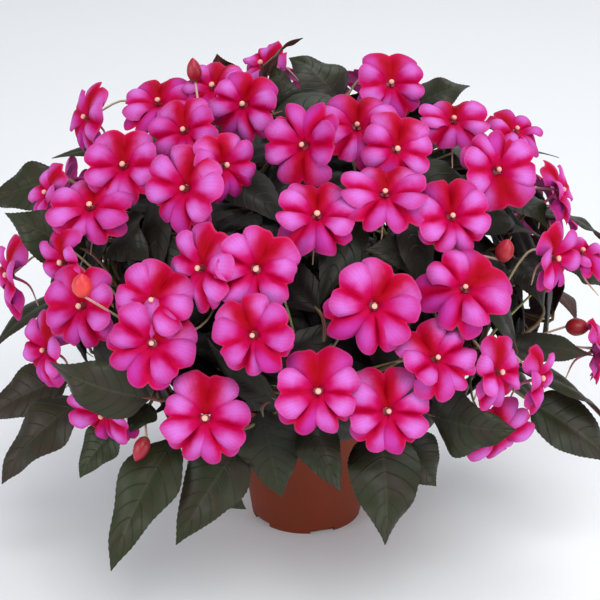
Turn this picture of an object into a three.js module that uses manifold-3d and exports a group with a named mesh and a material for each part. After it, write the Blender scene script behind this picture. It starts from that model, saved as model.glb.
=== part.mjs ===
// A potted New Guinea impatiens: a broad mound of leafy stems, covered in two-tone pink blooms.
// Millimetres, +Z up. The origin is the centre of the pot's flat base, and the viewer stands at -Y.
// Blooms and large leaves that the viewer sees are placed along the viewer's sight lines.
// The others follow rules with seeded draws. Whatever would cross a neighbour is moved or bent clear.

import * as THREE from "three";
import { mergeVertices } from "three/addons/utils/BufferGeometryUtils.js";
import Module from "manifold-3d";

const wasm = await Module();
wasm.setup();

// Pot
const POT_HEIGHT = 105;
const POT_FOOT_RADIUS = 42.5;
const POT_NECK_RADIUS = 55.5;
const POT_RIM_RADIUS = 60;
const POT_RIM_HEIGHT = 15;
const POT_WALL = 2.2;
const POT_FLOOR = 3;
const POT_SIDES = 20;
const DRAIN_SLOTS = 5;
const DRAIN_SLOT_WIDTH = 19;
const DRAIN_SLOT_HEIGHT = 3.6;
const DRAIN_SLOT_DEPTH = 9;
const FIRST_DRAIN_SLOT_DEG = -73;

// Corners nearer than this are one corner
const MERGE_DISTANCE = 1e-3;

// Soil
const SOIL_TOP = 90;
const SEAT_GAP = 0.3;
const STEM_HOLE_DEPTH = 24;
const STEM_HOLE_GAP = 0.4;

// Viewer: height, distance and downward look, and how many picture units span one unit of slope
const EYE = new THREE.Vector3(-5, -1363, 756);
const LOOK_DOWN_DEG = 23;
const PICTURE_CENTRE = 300;
const PICTURE_SCALE = 1968;

// Mound on which the blooms' centres lie
const MOUND_RADIUS = 218;
const MOUND_HALF_HEIGHT = 150;
const MOUND_CENTRE_Z = 200;

// Stems: rings of stems, each with its number, how far its tips spread, their height and foot radius
const STEM_RINGS = [
  { count: 1, spread: 12, height: 288, foot: 3, firstDeg: 90 },
  { count: 4, spread: 98, height: 258, foot: 20, firstDeg: 45 },
  { count: 7, spread: 162, height: 176, foot: 38, firstDeg: -90 },
];
const STEM_RADIUS = 4.6;
const STEM_TIP_RADIUS = 3.2;
const STEM_SIDES = 4;
const STEM_STRAIGHT = 5;

// Blooms
const PETAL_THICKNESS = 0.8;
const THROAT_RADIUS = 4;
const THROAT_HALF_ROOT = 1.15;
const COLUMN_HEIGHT = 4;
const BLOOM_SPAN = 66;
const PUSH_STEP = 4;
const PUSH_STEPS = 13;
const CLEARANCE = 0.35;
const MOST_BLOOMS_FUSED = 2;
const MOST_FUSED_LATE = 3;
const LEAST_FUSED_VOLUME = 1;
const MOST_BLOOM_NODES = 46;

// Petals: axis in degrees from the bloom's right, reach, half widths to each side, slope and notch
const PETALS = [
  { at: -3, reach: 29.5, right: 15.5, left: 16.5, pitch: 11, notch: 0.8, lobe: 9.5 },
  { at: 90, reach: 30, right: 20.5, left: 20.5, pitch: -2, notch: 0.87, lobe: 11 },
  { at: 183, reach: 29.5, right: 16.5, left: 15.5, pitch: 11, notch: 0.8, lobe: 9.5 },
  { at: 234, reach: 31.5, right: 14, left: 13, pitch: -11, notch: 0.82, lobe: 9 },
  { at: 306, reach: 31.5, right: 13, left: 14, pitch: -11, notch: 0.82, lobe: 9 },
];

// Spur behind each bloom, in the bloom's own frame
const SPUR_ROOT = new THREE.Vector3(0, -1.5, -5);
const SPUR_BEND = new THREE.Vector3(0, -7, -17);
const SPUR_TIP = new THREE.Vector3(0, -22, -26);
const SPUR_RADIUS = 1.5;

// Pedicels: where they meet the bloom's back, and the bends that are tried in turn
const PEDICEL_SEAT = new THREE.Vector3(0, 1.45, -2.9);
const PEDICEL_AXIS = new THREE.Vector3(0, 0.69, -0.724);
const PEDICEL_RADIUS = 1.0;
const PEDICEL_SIDES = 3;
const PEDICEL_STEMS = 6;
const PEDICEL_JOINTS = [0.93, 0.8, 0.66, 0.5];
const PEDICEL_STAGGER = 0.026;
const PEDICEL_SIDEWAYS = [0, 14, -14, 28, -28];
const PEDICEL_RISES = [0, 14, -14, 30];
const PEDICEL_RUN_OUTS = [16, 7];
const PEDICEL_POINTS = [[0, 0.55, 1], [0, 0.3, 0.66, 1], [0, 0.4, 0.84, 1]];
const ROOT_TAPER = 0.7;

// Leaves
const LEAF_THICKNESS = 0.8;
const PETIOLE_HALF_WIDTH = 1.3;
const PETIOLE_HALF_THICKNESS = 0.9;
const EDGE_WAVE = 0.06;

// Blade outline: share of the length and of the half width
const LARGE_BLADE = [[0.12, 0.66], [0.34, 1], [0.6, 0.7], [0.82, 0.34]];
const SMALL_BLADE = [[0.28, 0.96], [0.64, 0.68]];

// Leaf bends that are tried in turn
const LEAF_DEPTHS = [0, -5, 5, -10, 10, -16, 16, -24, 24, -34, 34, -46, 46, 60];
const LEAF_STEMS = 4;
const LEAF_JOINTS = [0.9, 0.72, 0.55, 0.4];
const SHARPEST_APPROACH = -0.1;
const LEAF_SWINGS = [0, 14, -14, 28, -28];
const LEAF_LIFTS = [0, 14, -14, 30, -30];
const LEAF_SIZES = [1, 0.8];

// Blooms that the viewer sees: picture place, span, turn to the right, upward lift and clockwise roll
const SEEN_BLOOMS = [
  { px: 318, py: 391, span: 60, turn: 0, lift: 26, roll: 0 },
  { px: 205, py: 418, span: 63, turn: -3, lift: 27, roll: 8 },
  { px: 388, py: 411, span: 61, turn: 10, lift: 26, roll: 4 },
  { px: 152, py: 343, span: 64, turn: -4, lift: 26, roll: 35 },
  { px: 374, py: 306, span: 66, turn: 6, lift: 25, roll: 33 },
  { px: 256, py: 269, span: 60, turn: 0, lift: 25, roll: 28 },
  { px: 80, py: 306, span: 60, turn: -26, lift: 24, roll: -6 },
  { px: 465, py: 288, span: 65, turn: 14, lift: 50, roll: 62 },
  { px: 452, py: 216, span: 56, turn: 14, lift: 38, roll: 0 },
  { px: 184, py: 188, span: 62, turn: -28, lift: 22, roll: 12 },
  { px: 123, py: 165, span: 59, turn: -14, lift: 42, roll: -8 },
  { px: 90, py: 206, span: 66, turn: -18, lift: 60, roll: -4 },
  { px: 385, py: 193, span: 64, turn: 8, lift: 62, roll: 8 },
  { px: 317, py: 215, span: 59, turn: 4, lift: 56, roll: 8 },
  { px: 498, py: 170, span: 61, turn: 18, lift: 27, roll: 178 },
  { px: 303, py: 145, span: 60, turn: -26, lift: 22, roll: 168 },
  { px: 357, py: 126, span: 63, turn: 5, lift: 56, roll: 4 },
  { px: 391, py: 83, span: 56, turn: 12, lift: 42, roll: 6 },
  { px: 243, py: 104, span: 54, turn: -12, lift: 28, roll: 14 },
  { px: 158, py: 102, span: 58, turn: -14, lift: 68, roll: -10 },
  { px: 253, py: 335, span: 58, turn: -10, lift: 22, roll: -22 },
  { px: 152, py: 300, span: 58, turn: -14, lift: 30, roll: 22 },
  { px: 200, py: 268, span: 62, turn: -46, lift: 18, roll: 8 },
  { px: 437, py: 358, span: 56, turn: 22, lift: 42, roll: -16 },
  { px: 45, py: 350, span: 58, turn: -56, lift: 14, roll: 0 },
  { px: 103, py: 415, span: 54, turn: -36, lift: -10, roll: 8 },
  { px: 500, py: 436, span: 58, turn: 22, lift: -16, roll: -24 },
  { px: 500, py: 372, span: 52, turn: 50, lift: 18, roll: 12 },
  { px: 540, py: 378, span: 50, turn: 68, lift: 8, roll: 0 },
  { px: 556, py: 258, span: 54, turn: 52, lift: 12, roll: -10 },
  { px: 561, py: 190, span: 52, turn: 76, lift: 24, roll: 0 },
  { px: 516, py: 130, span: 50, turn: 52, lift: 62, roll: 0 },
  { px: 454, py: 120, span: 56, turn: 12, lift: 72, roll: 10 },
  { px: 225, py: 165, span: 50, turn: 38, lift: 22, roll: 0 },
  { px: 184, py: 130, span: 54, turn: -22, lift: 38, roll: -20 },
  { px: 86, py: 117, span: 58, turn: -64, lift: 20, roll: 0 },
  { px: 397, py: 149, span: 56, turn: 16, lift: 30, roll: 20 },
  { px: 262, py: 64, span: 44, turn: -62, lift: 52, roll: 20 },
  { px: 213, py: 86, span: 52, turn: -30, lift: 48, roll: 0 },
  { px: 8, py: 275, span: 62, turn: -74, lift: 12, roll: 0 },
  { px: 47, py: 193, span: 50, turn: -70, lift: 30, roll: 10 },
  { px: 582, py: 252, span: 42, turn: 66, lift: 74, roll: 0 },
  { px: 597, py: 350, span: 50, turn: 80, lift: 10, roll: 0 },
  { px: 62, py: 262, span: 48, turn: -48, lift: 8, roll: -14 },
];

// Blooms on the far side, by rule
const SPIRAL_POINTS = 130;
const SPIRAL_TURN_DEG = 137.508;
const SPIRAL_LOW = -0.42;
const HIDDEN_SIDE = 0.3;
const SPRAY_SPACING = 76;
const SEEN_SPACING = 58;
const SPRAY_HALF_WIDTH = 23;
const MOST_FAR_SPRAYS = 9;
const FAR_BLOOM_SPAN = 58;

// Large leaves that the viewer sees: base and tip in the picture, with their distance behind the axis
const SEEN_LEAVES = [
  { from: [176, 436, -150], to: [111, 571, -196], wide: 44, arch: 0.1, turn: 0 },
  { from: [262, 410, -166], to: [282, 497, -172], wide: 44, arch: 0.08, turn: -8 },
  { from: [243, 440, -160], to: [176, 545, -186], wide: 44, arch: 0.1, turn: 12 },
  { from: [378, 428, -156], to: [385, 545, -190], wide: 54, arch: 0.12, turn: 0 },
  { from: [306, 420, -170], to: [341, 492, -196], wide: 30, arch: 0.1, turn: -10 },
  { from: [430, 414, -150], to: [516, 430, -176], wide: 50, arch: 0.12, turn: 0 },
  { from: [398, 436, -150], to: [436, 486, -156], wide: 40, arch: 0.1, turn: 0 },
  { from: [528, 400, -84], to: [612, 462, -70], wide: 42, arch: 0.1, turn: 0 },
  { from: [150, 398, -142], to: [50, 362, -132], wide: 44, arch: 0.14, turn: 0 },
  { from: [84, 398, -96], to: [2, 484, -104], wide: 42, arch: 0.12, turn: 0 },
  { from: [70, 376, -60], to: [-14, 420, -52], wide: 40, arch: 0.12, turn: 0 },
  { from: [118, 424, -130], to: [80, 478, -138], wide: 30, arch: 0.1, turn: 0 },
  { from: [150, 404, -146], to: [130, 432, -160], wide: 24, arch: 0.1, turn: 0 },
  { from: [190, 452, -150], to: [246, 509, -156], wide: 38, arch: 0.1, turn: 0 },
  { from: [86, 250, -70], to: [5, 213, -66], wide: 42, arch: 0.1, turn: 0 },
  { from: [62, 180, 30], to: [-10, 206, 44], wide: 40, arch: 0.12, turn: -40 },
  { from: [512, 256, -70], to: [543, 310, -96], wide: 34, arch: 0.14, turn: 20 },
  { from: [505, 350, -110], to: [594, 356, -84], wide: 26, arch: 0.1, turn: -40 },
  { from: [540, 214, -10], to: [608, 246, -20], wide: 36, arch: 0.14, turn: -5 },
  { from: [562, 252, -30], to: [606, 292, -40], wide: 36, arch: 0.1, turn: 20 },
  { from: [416, 106, 60], to: [470, 86, 66], wide: 38, arch: 0.1, turn: 45 },
  { from: [340, 104, 40], to: [289, 58, 66], wide: 48, arch: 0.14, turn: -30 },
  { from: [284, 112, 10], to: [273, 66, 30], wide: 30, arch: 0.14, turn: 20 },
  { from: [262, 92, 30], to: [303, 38, 26], wide: 30, arch: 0.16, turn: 0 },
  { from: [232, 100, 50], to: [217, 54, 50], wide: 30, arch: 0.1, turn: 0 },
  { from: [506, 194, -10], to: [546, 228, -50], wide: 34, arch: 0.1, turn: 40 },
  { from: [250, 214, -60], to: [206, 248, -110], wide: 40, arch: 0.12, turn: 0 },
  { from: [350, 250, -70], to: [300, 276, -128], wide: 40, arch: 0.12, turn: 0 },
  { from: [420, 260, -70], to: [366, 250, -120], wide: 40, arch: 0.12, turn: 0 },
  { from: [120, 226, -70], to: [150, 262, -120], wide: 38, arch: 0.12, turn: 0 },
  { from: [300, 320, -100], to: [318, 352, -150], wide: 40, arch: 0.12, turn: 0 },
  { from: [420, 330, -100], to: [404, 352, -150], wide: 36, arch: 0.12, turn: 0 },
];

// Leaves by rule: where the whorls stand on each stem, and how many leaves each whorl has
const WHORLS = [
  { at: 0.55, leaves: 1, lift: -8 },
  { at: 0.97, leaves: 3, lift: 14 },
];
const RULE_LEAF_LENGTH = 96;
const RULE_LEAF_WIDTH = 38;
const RULE_PETIOLE = 24;
const WHORL_STAGGER = 0.04;
const RULE_DROOP_DEG = 18;
const LEAF_REACH = 240;
const LEAF_LOW = 20;
const LOW_LEAF_Z = 150;
const LOW_LEAF_FRONT = -90;
const UNDER_BLOOMS = 0.93;

// Buds that the viewer sees: picture place with its distance behind the axis, and where each points
const SEEN_BUDS = [
  { at: [82, 285, -176], points: [0, -0.3, 1] },
  { at: [505, 250, -120], points: [0.2, -0.3, 1] },
  { at: [578, 327, -50], points: [1, -0.3, 0.1] },
  { at: [141, 449, -176], points: [-0.5, -0.5, -1] },
  { at: [194, 70, 20], points: [-0.1, 0, 1] },
];

// Bud: size, share of the length and of the radius along it, and the bends that are tried in turn
const BUD_LENGTH = 18;
const BUD_RADIUS = 6.2;
const BUD_SIDES = 4;
const BUD_SHAPE = [[0, 0.3], [0.4, 1], [0.75, 0.72], [1, 0.14]];
const BUD_BEND = 0.65;
const BUD_DEPTHS = [0, -6, 6, -12, 12, -20, 20, -30, 30];

// Draws numbers from 0 to 1, the same ones each time for one seed.
class Draws {
  constructor(seed) {
    this.state = (seed * 7919 + 104729) % 4294967296;
    this.next();
    this.next();
  }

  next() {
    this.state = (this.state * 1664525 + 1013904223) % 4294967296;
    return this.state / 4294967296;
  }

  between(low, high) {
    return low + (high - low) * this.next();
  }
}

// Collects the corners and triangles of one closed surface.
class Shell {
  constructor() {
    this.corners = [];
    this.faces = [];
  }

  corner(point) {
    this.corners.push(point);
    return this.corners.length - 1;
  }

  triangle(a, b, c) {
    this.faces.push([a, b, c]);
  }

  quad(a, b, c, d) {
    this.triangle(a, b, c);
    this.triangle(a, c, d);
  }

  solid() {
    const vertProperties = new Float32Array(this.corners.flatMap((corner) => corner.toArray()));
    const triVerts = new Uint32Array(this.faces.flat());
    return new wasm.Manifold(new wasm.Mesh({ numProp: 3, vertProperties, triVerts }));
  }
}

function radians(degrees) {
  return THREE.MathUtils.degToRad(degrees);
}

function along(start, direction, distance) {
  return start.clone().addScaledVector(direction, distance);
}

// The direction in which the viewer sees a place in the picture.
function sightDirection(px, py) {
  const right = (px - PICTURE_CENTRE) / PICTURE_SCALE;
  const down = (py - PICTURE_CENTRE) / PICTURE_SCALE;
  const look = radians(LOOK_DOWN_DEG);
  const forward = new THREE.Vector3(0, Math.cos(look), -Math.sin(look));
  const up = new THREE.Vector3(0, Math.sin(look), Math.cos(look));
  forward.x += right;
  return forward.addScaledVector(up, -down).normalize();
}

// The point of a sight line that lies at distance y behind the pot's axis.
function seenAt([px, py, y]) {
  const direction = sightDirection(px, py);
  return along(EYE, direction, (y - EYE.y) / direction.y);
}

// The point where a sight line meets the mound, or passes nearest to it.
function seenOnMound(px, py) {
  const squeeze = MOUND_RADIUS / MOUND_HALF_HEIGHT;
  const direction = sightDirection(px, py);
  const start = new THREE.Vector3(EYE.x, EYE.y, (EYE.z - MOUND_CENTRE_Z) * squeeze);
  const heading = new THREE.Vector3(direction.x, direction.y, direction.z * squeeze);
  const a = heading.lengthSq();
  const b = start.dot(heading);
  const c = start.lengthSq() - MOUND_RADIUS * MOUND_RADIUS;
  const reach = Math.sqrt(Math.max(b * b - a * c, 0));
  return along(EYE, direction, (-b - reach) / a);
}

// A unit direction from its turn to the right of the viewer and its upward lift.
function facingDirection(turn, lift) {
  const flat = Math.cos(radians(lift));
  const x = Math.sin(radians(turn)) * flat;
  const y = -Math.cos(radians(turn)) * flat;
  return new THREE.Vector3(x, y, Math.sin(radians(lift)));
}

// Keeps every solid that stands, with the node it belongs to and the box around it.
const standing = [];

function stand(node, solid) {
  standing.push({ node, solid, box: solid.boundingBox() });
}

function boxesMeet(a, b) {
  return [0, 1, 2].every((axis) => a.min[axis] <= b.max[axis] && b.min[axis] <= a.max[axis]);
}

// The standing pieces that a solid would cross, apart from those of one node.
function crossed(solid, ownNode = null) {
  const box = solid.boundingBox();
  return standing.filter((piece) => {
    if (piece.node === ownNode || !boxesMeet(box, piece.box)) {
      return false;
    }
    return piece.solid.intersect(solid).volume() > 1e-4;
  });
}

// Fuses solids, fills what the fusing seals and drops loose scraps.
function fuse(solids) {
  const whole = solids.reduce((sum, solid) => sum.add(solid));
  const parts = solidOf(mergeVertices(geometryOf(whole), MERGE_DISTANCE)).decompose();
  return parts.reduce((largest, part) => (part.volume() > largest.volume() ? part : largest));
}

// A tube through rings of corners, with a radius at each point and flat ends. Each ring carries on
// the turn of the ring before it, so that the tube doesn't twist.
function sweep(points, radii, sides) {
  const shell = new Shell();
  const start = points[1].clone().sub(points[0]).normalize();
  const level = Math.abs(start.z) < 0.9 ? new THREE.Vector3(0, 0, 1) : new THREE.Vector3(1, 0, 0);
  let side = new THREE.Vector3().crossVectors(level, start);
  const rings = points.map((point, index) => {
    const before = points[Math.max(index - 1, 0)];
    const after = points[Math.min(index + 1, points.length - 1)];
    const heading = after.clone().sub(before).normalize();
    side = side.clone().addScaledVector(heading, -side.dot(heading)).normalize();
    const rise = new THREE.Vector3().crossVectors(heading, side);
    const ring = [];
    for (let k = 0; k < sides; k += 1) {
      const angle = (2 * Math.PI * k) / sides;
      const offset = along(new THREE.Vector3(), side, Math.cos(angle) * radii[index]);
      ring.push(shell.corner(offset.addScaledVector(rise, Math.sin(angle) * radii[index]).add(point)));
    }
    return ring;
  });
  for (let index = 0; index + 1 < rings.length; index += 1) {
    for (let k = 0; k < sides; k += 1) {
      const next = (k + 1) % sides;
      shell.quad(rings[index][k], rings[index][next], rings[index + 1][next], rings[index + 1][k]);
    }
  }
  const first = rings[0];
  const last = rings[rings.length - 1];
  for (let k = 1; k + 1 < sides; k += 1) {
    shell.triangle(first[0], first[k + 1], first[k]);
    shell.triangle(last[0], last[k], last[k + 1]);
  }
  return shell.solid();
}

function lathe(profile) {
  const points = profile.map(([radius, height]) => new THREE.Vector2(radius, height));
  const geometry = new THREE.LatheGeometry(points, POT_SIDES).rotateX(Math.PI / 2);
  return solidOf(geometry);
}

function geometryOf(solid) {
  const mesh = solid.getMesh();
  const corners = new Float32Array(mesh.numVert * 3);
  for (let index = 0; index < mesh.numVert; index += 1) {
    const from = index * mesh.numProp;
    corners.set(mesh.vertProperties.subarray(from, from + 3), index * 3);
  }
  const geometry = new THREE.BufferGeometry();
  geometry.setAttribute("position", new THREE.BufferAttribute(corners, 3));
  geometry.setIndex(new THREE.BufferAttribute(new Uint32Array(mesh.triVerts), 1));
  return geometry;
}

// A solid from a closed geometry, with corners that coincide made one.
function solidOf(geometry) {
  const position = geometry.getAttribute("position");
  const places = new Map();
  const shell = new Shell();
  const corner = (index) => {
    const point = new THREE.Vector3().fromBufferAttribute(position, index);
    const key = point.toArray().map((value) => Math.round(value * 1e4)).join(" ");
    if (!places.has(key)) {
      places.set(key, shell.corner(point));
    }
    return places.get(key);
  };
  const order = geometry.index ? Array.from(geometry.index.array) : [...Array(position.count).keys()];
  for (let start = 0; start < order.length; start += 3) {
    const [a, b, c] = [corner(order[start]), corner(order[start + 1]), corner(order[start + 2])];
    if (a !== b && b !== c && c !== a) {
      shell.triangle(a, b, c);
    }
  }
  return shell.solid();
}

// The pot's outer radius under the rim at a height.
function potRadius(height) {
  const share = height / (POT_HEIGHT - POT_RIM_HEIGHT);
  return POT_FOOT_RADIUS + (POT_NECK_RADIUS - POT_FOOT_RADIUS) * share;
}

function pot() {
  const ledge = POT_HEIGHT - POT_RIM_HEIGHT;
  let solid = lathe([
    [0, 0],
    [POT_FOOT_RADIUS, 0],
    [POT_NECK_RADIUS, ledge],
    [POT_RIM_RADIUS - 0.8, ledge],
    [POT_RIM_RADIUS, POT_HEIGHT],
    [POT_RIM_RADIUS - POT_WALL, POT_HEIGHT],
    [POT_NECK_RADIUS - POT_WALL + 0.6, ledge],
    [potRadius(POT_FLOOR) - POT_WALL, POT_FLOOR],
    [0, POT_FLOOR],
  ]);
  for (let slot = 0; slot < DRAIN_SLOTS; slot += 1) {
    const angle = radians(FIRST_DRAIN_SLOT_DEG + (360 / DRAIN_SLOTS) * slot);
    const cut = new THREE.BoxGeometry(DRAIN_SLOT_DEPTH, DRAIN_SLOT_WIDTH, DRAIN_SLOT_HEIGHT * 2);
    cut.translate(POT_FOOT_RADIUS, 0, 0).rotateZ(angle);
    solid = solid.subtract(solidOf(cut));
  }
  return solid;
}

// Each stem's foot in the soil, the curve above it and its tip.
function stemPlans() {
  return STEM_RINGS.flatMap((ring) => {
    const plans = [];
    for (let index = 0; index < ring.count; index += 1) {
      const angle = radians(ring.firstDeg + (360 / ring.count) * index);
      const outward = new THREE.Vector3(Math.cos(angle), Math.sin(angle), 0);
      const foot = outward.clone().multiplyScalar(ring.foot).setZ(SOIL_TOP + STEM_STRAIGHT);
      const tip = outward.clone().multiplyScalar(ring.spread).setZ(ring.height);
      const climb = (ring.height - foot.z) * 0.55;
      const rise = foot.clone().add(new THREE.Vector3(0, 0, climb)).addScaledVector(outward, 4);
      const lean = tip.clone().addScaledVector(outward, -ring.spread * 0.3);
      lean.z -= (ring.height - foot.z) * 0.12;
      plans.push({ foot, tip, outward, curve: new THREE.CubicBezierCurve3(foot, rise, lean, tip) });
    }
    return plans;
  });
}

function stemBottom(plan) {
  return plan.foot.clone().setZ(SOIL_TOP - STEM_HOLE_DEPTH + SEAT_GAP);
}

function stemTrunk(plan) {
  const shares = [0, 0.35, 0.7, 1];
  const points = [stemBottom(plan), ...shares.map((share) => plan.curve.getPoint(share))];
  const radii = points.map((point, index) => {
    const share = Math.max(index - 1, 0) / (points.length - 2);
    return STEM_RADIUS + (STEM_TIP_RADIUS - STEM_RADIUS) * share;
  });
  return sweep(points, radii, STEM_SIDES);
}

function soil(plans) {
  const gap = POT_WALL + SEAT_GAP + 0.1;
  const bottom = POT_FLOOR + SEAT_GAP;
  let solid = lathe([
    [0, bottom],
    [potRadius(bottom) - gap, bottom],
    [potRadius(SOIL_TOP) - gap, SOIL_TOP],
    [0, SOIL_TOP],
  ]);
  plans.forEach((plan) => {
    const base = plan.foot.clone().setZ(SOIL_TOP - STEM_HOLE_DEPTH);
    const radius = STEM_RADIUS + STEM_HOLE_GAP;
    const hole = sweep([base, plan.foot.clone().setZ(SOIL_TOP + 1)], [radius, radius], STEM_SIDES);
    solid = solid.subtract(hole);
  });
  return solid;
}

// The bloom's own frame: x to its right, y to the dorsal petal, z the way it faces.
function bloomFrame(bloom) {
  const facing = bloom.facing;
  const up = new THREE.Vector3(0, 0, 1).addScaledVector(facing, -facing.z).normalize();
  up.applyAxisAngle(facing, -radians(bloom.roll));
  const right = new THREE.Vector3().crossVectors(up, facing);
  return new THREE.Matrix4().makeBasis(right, up, facing).setPosition(bloom.centre);
}

// One petal's outline from its right root to its left root, in the bloom's own frame.
function petalOutline(petal, bloom, spare) {
  const grow = bloom.span / BLOOM_SPAN;
  const slope = Math.tan(radians(petal.pitch + bloom.cup));
  const angle = radians(petal.at);
  const reach = petal.reach + spare;
  const place = (u, v, curl) => {
    const out = u > THROAT_RADIUS ? THROAT_RADIUS + (u - THROAT_RADIUS) * grow : u;
    const across = Math.abs(v) > THROAT_HALF_ROOT ? v * grow : v;
    const x = out * Math.cos(angle) - across * Math.sin(angle);
    const y = out * Math.sin(angle) + across * Math.cos(angle);
    return new THREE.Vector3(x, y, (out - THROAT_RADIUS) * slope + curl);
  };
  return [
    place(THROAT_RADIUS, -THROAT_HALF_ROOT, 0),
    place(petal.reach * 0.62, -petal.right - spare, -1),
    place(reach, -petal.lobe - spare * 0.5, -0.6),
    place(petal.reach * petal.notch + spare, 0, 0.3),
    place(reach, petal.lobe + spare * 0.5, -0.6),
    place(petal.reach * 0.62, petal.left + spare, -1),
    place(THROAT_RADIUS, THROAT_HALF_ROOT, 0),
  ];
}

// A bloom: five notched petals in two layers round a throat, with its column and its spur.
function bloomSolid(bloom, spare = 0) {
  const shell = new Shell();
  const frame = bloomFrame(bloom);
  const half = PETAL_THICKNESS / 2 + spare;
  const put = (point, height) => {
    return shell.corner(point.clone().setZ(point.z + height).applyMatrix4(frame));
  };
  const topRing = [];
  const bottomRing = [];
  PETALS.forEach((petal) => {
    const outline = petalOutline(petal, bloom, spare);
    const top = outline.map((point) => put(point, half));
    const bottom = outline.map((point) => put(point, -half));
    const notch = 3;
    [[4, 5], [5, 6], [6, 0], [0, 1], [1, 2]].forEach(([a, b]) => {
      shell.triangle(top[notch], top[a], top[b]);
      shell.triangle(bottom[notch], bottom[b], bottom[a]);
    });
    for (let edge = 0; edge < 6; edge += 1) {
      shell.quad(bottom[edge], bottom[edge + 1], top[edge + 1], top[edge]);
    }
    topRing.push(top[0], top[6]);
    bottomRing.push(bottom[0], bottom[6]);
  });
  const count = topRing.length;
  const apex = put(new THREE.Vector3(0, 0, COLUMN_HEIGHT), spare);
  const spur = spurRings(spare).map((ring) => ring.map((point) => put(point, 0)));
  for (let index = 0; index < count; index += 1) {
    const next = (index + 1) % count;
    shell.triangle(topRing[index], topRing[next], apex);
    if (index % 2 === 1) {
      shell.quad(bottomRing[index], bottomRing[next], topRing[next], topRing[index]);
    }
    const own = spurCorner(index, count);
    const following = spurCorner(next, count);
    shell.triangle(bottomRing[next], bottomRing[index], spur[0][own]);
    if (own !== following) {
      shell.triangle(bottomRing[next], spur[0][own], spur[0][following]);
    }
  }
  const tip = put(SPUR_TIP, 0);
  for (let k = 0; k < 3; k += 1) {
    const next = (k + 1) % 3;
    shell.quad(spur[1][k], spur[1][next], spur[0][next], spur[0][k]);
    shell.triangle(tip, spur[1][next], spur[1][k]);
  }
  return shell.solid();
}

// The corner of the spur's root that one edge of the throat runs down to.
function spurCorner(edge, count) {
  return Math.floor((edge * 3) / count);
}

function spurRings(spare) {
  const firstDeg = 50;
  return [SPUR_ROOT, SPUR_BEND].map((centre, index) => {
    const radius = SPUR_RADIUS * (1 - index * 0.25) + spare;
    return [0, 1, 2].map((k) => {
      const angle = radians(firstDeg + 120 * k);
      return new THREE.Vector3(Math.cos(angle), Math.sin(angle), 0).multiplyScalar(radius).add(centre);
    });
  });
}

// The plan of a bloom that the viewer sees. It may only be pushed back along the sight line.
function seenBloom(entry, index) {
  const draws = new Draws(index + 1);
  const centre = seenOnMound(entry.px, entry.py);
  return {
    centre,
    push: sightDirection(entry.px, entry.py),
    facing: facingDirection(entry.turn, entry.lift),
    roll: entry.roll,
    span: entry.span,
    cup: draws.between(-4, 4),
  };
}

// A place on the mound in a direction from its centre.
function onMound(outward) {
  const height = MOUND_CENTRE_Z + outward.z * MOUND_HALF_HEIGHT;
  return new THREE.Vector3(outward.x * MOUND_RADIUS, outward.y * MOUND_RADIUS, height);
}

// How far a direction from the mound's centre is turned away from the viewer: 0 is the horizon.
function turnedAway(outward) {
  const look = radians(LOOK_DOWN_DEG);
  const steepness = MOUND_RADIUS / MOUND_HALF_HEIGHT;
  return outward.y * Math.cos(look) - outward.z * steepness * Math.sin(look);
}

// Blooms on the far side, two to a spray, on a spiral over the mound where there is room.
function farBlooms(seen) {
  const sites = [];
  const blooms = [];
  for (let index = 0; index < SPIRAL_POINTS && sites.length < MOST_FAR_SPRAYS; index += 1) {
    const draws = new Draws(500 + index);
    const height = 1 - (1 - SPIRAL_LOW) * ((index + 0.5) / SPIRAL_POINTS);
    const angle = radians(SPIRAL_TURN_DEG * index);
    const ring = Math.sqrt(1 - height * height);
    const outward = new THREE.Vector3(Math.cos(angle) * ring, Math.sin(angle) * ring, height);
    const site = onMound(outward);
    const nearSeen = seen.some((bloom) => bloom.centre.distanceTo(site) < SEEN_SPACING);
    const nearSpray = sites.some((other) => other.distanceTo(site) < SPRAY_SPACING);
    if (turnedAway(outward) < HIDDEN_SIDE || nearSeen || nearSpray) {
      continue;
    }
    sites.push(site);
    const lean = radians(draws.between(-50, 50));
    const level = new THREE.Vector3(-outward.y, outward.x, 0).normalize();
    const sideways = level.applyAxisAngle(outward, lean).multiplyScalar(SPRAY_HALF_WIDTH / MOUND_RADIUS);
    [1, -1].forEach((side) => {
      const own = outward.clone().addScaledVector(sideways, side).normalize();
      const facing = own.clone();
      facing.x += draws.between(-0.25, 0.25);
      facing.y += draws.between(-0.2, 0.25);
      facing.z = facing.z * 0.8 + draws.between(0.1, 0.45);
      blooms.push({
        centre: onMound(own),
        push: own.clone().negate(),
        facing: facing.normalize(),
        roll: draws.between(-40, 40),
        span: FAR_BLOOM_SPAN + draws.between(-4, 5),
        cup: draws.between(-4, 4),
      });
    });
  }
  return blooms;
}

// Steps along the push direction in the order in which they are tried: 0, 1, -1, 2, -2 and so on.
function pushSteps() {
  const steps = [0];
  for (let step = 1; step <= PUSH_STEPS; step += 1) {
    steps.push(step, -step);
  }
  return steps;
}

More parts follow.
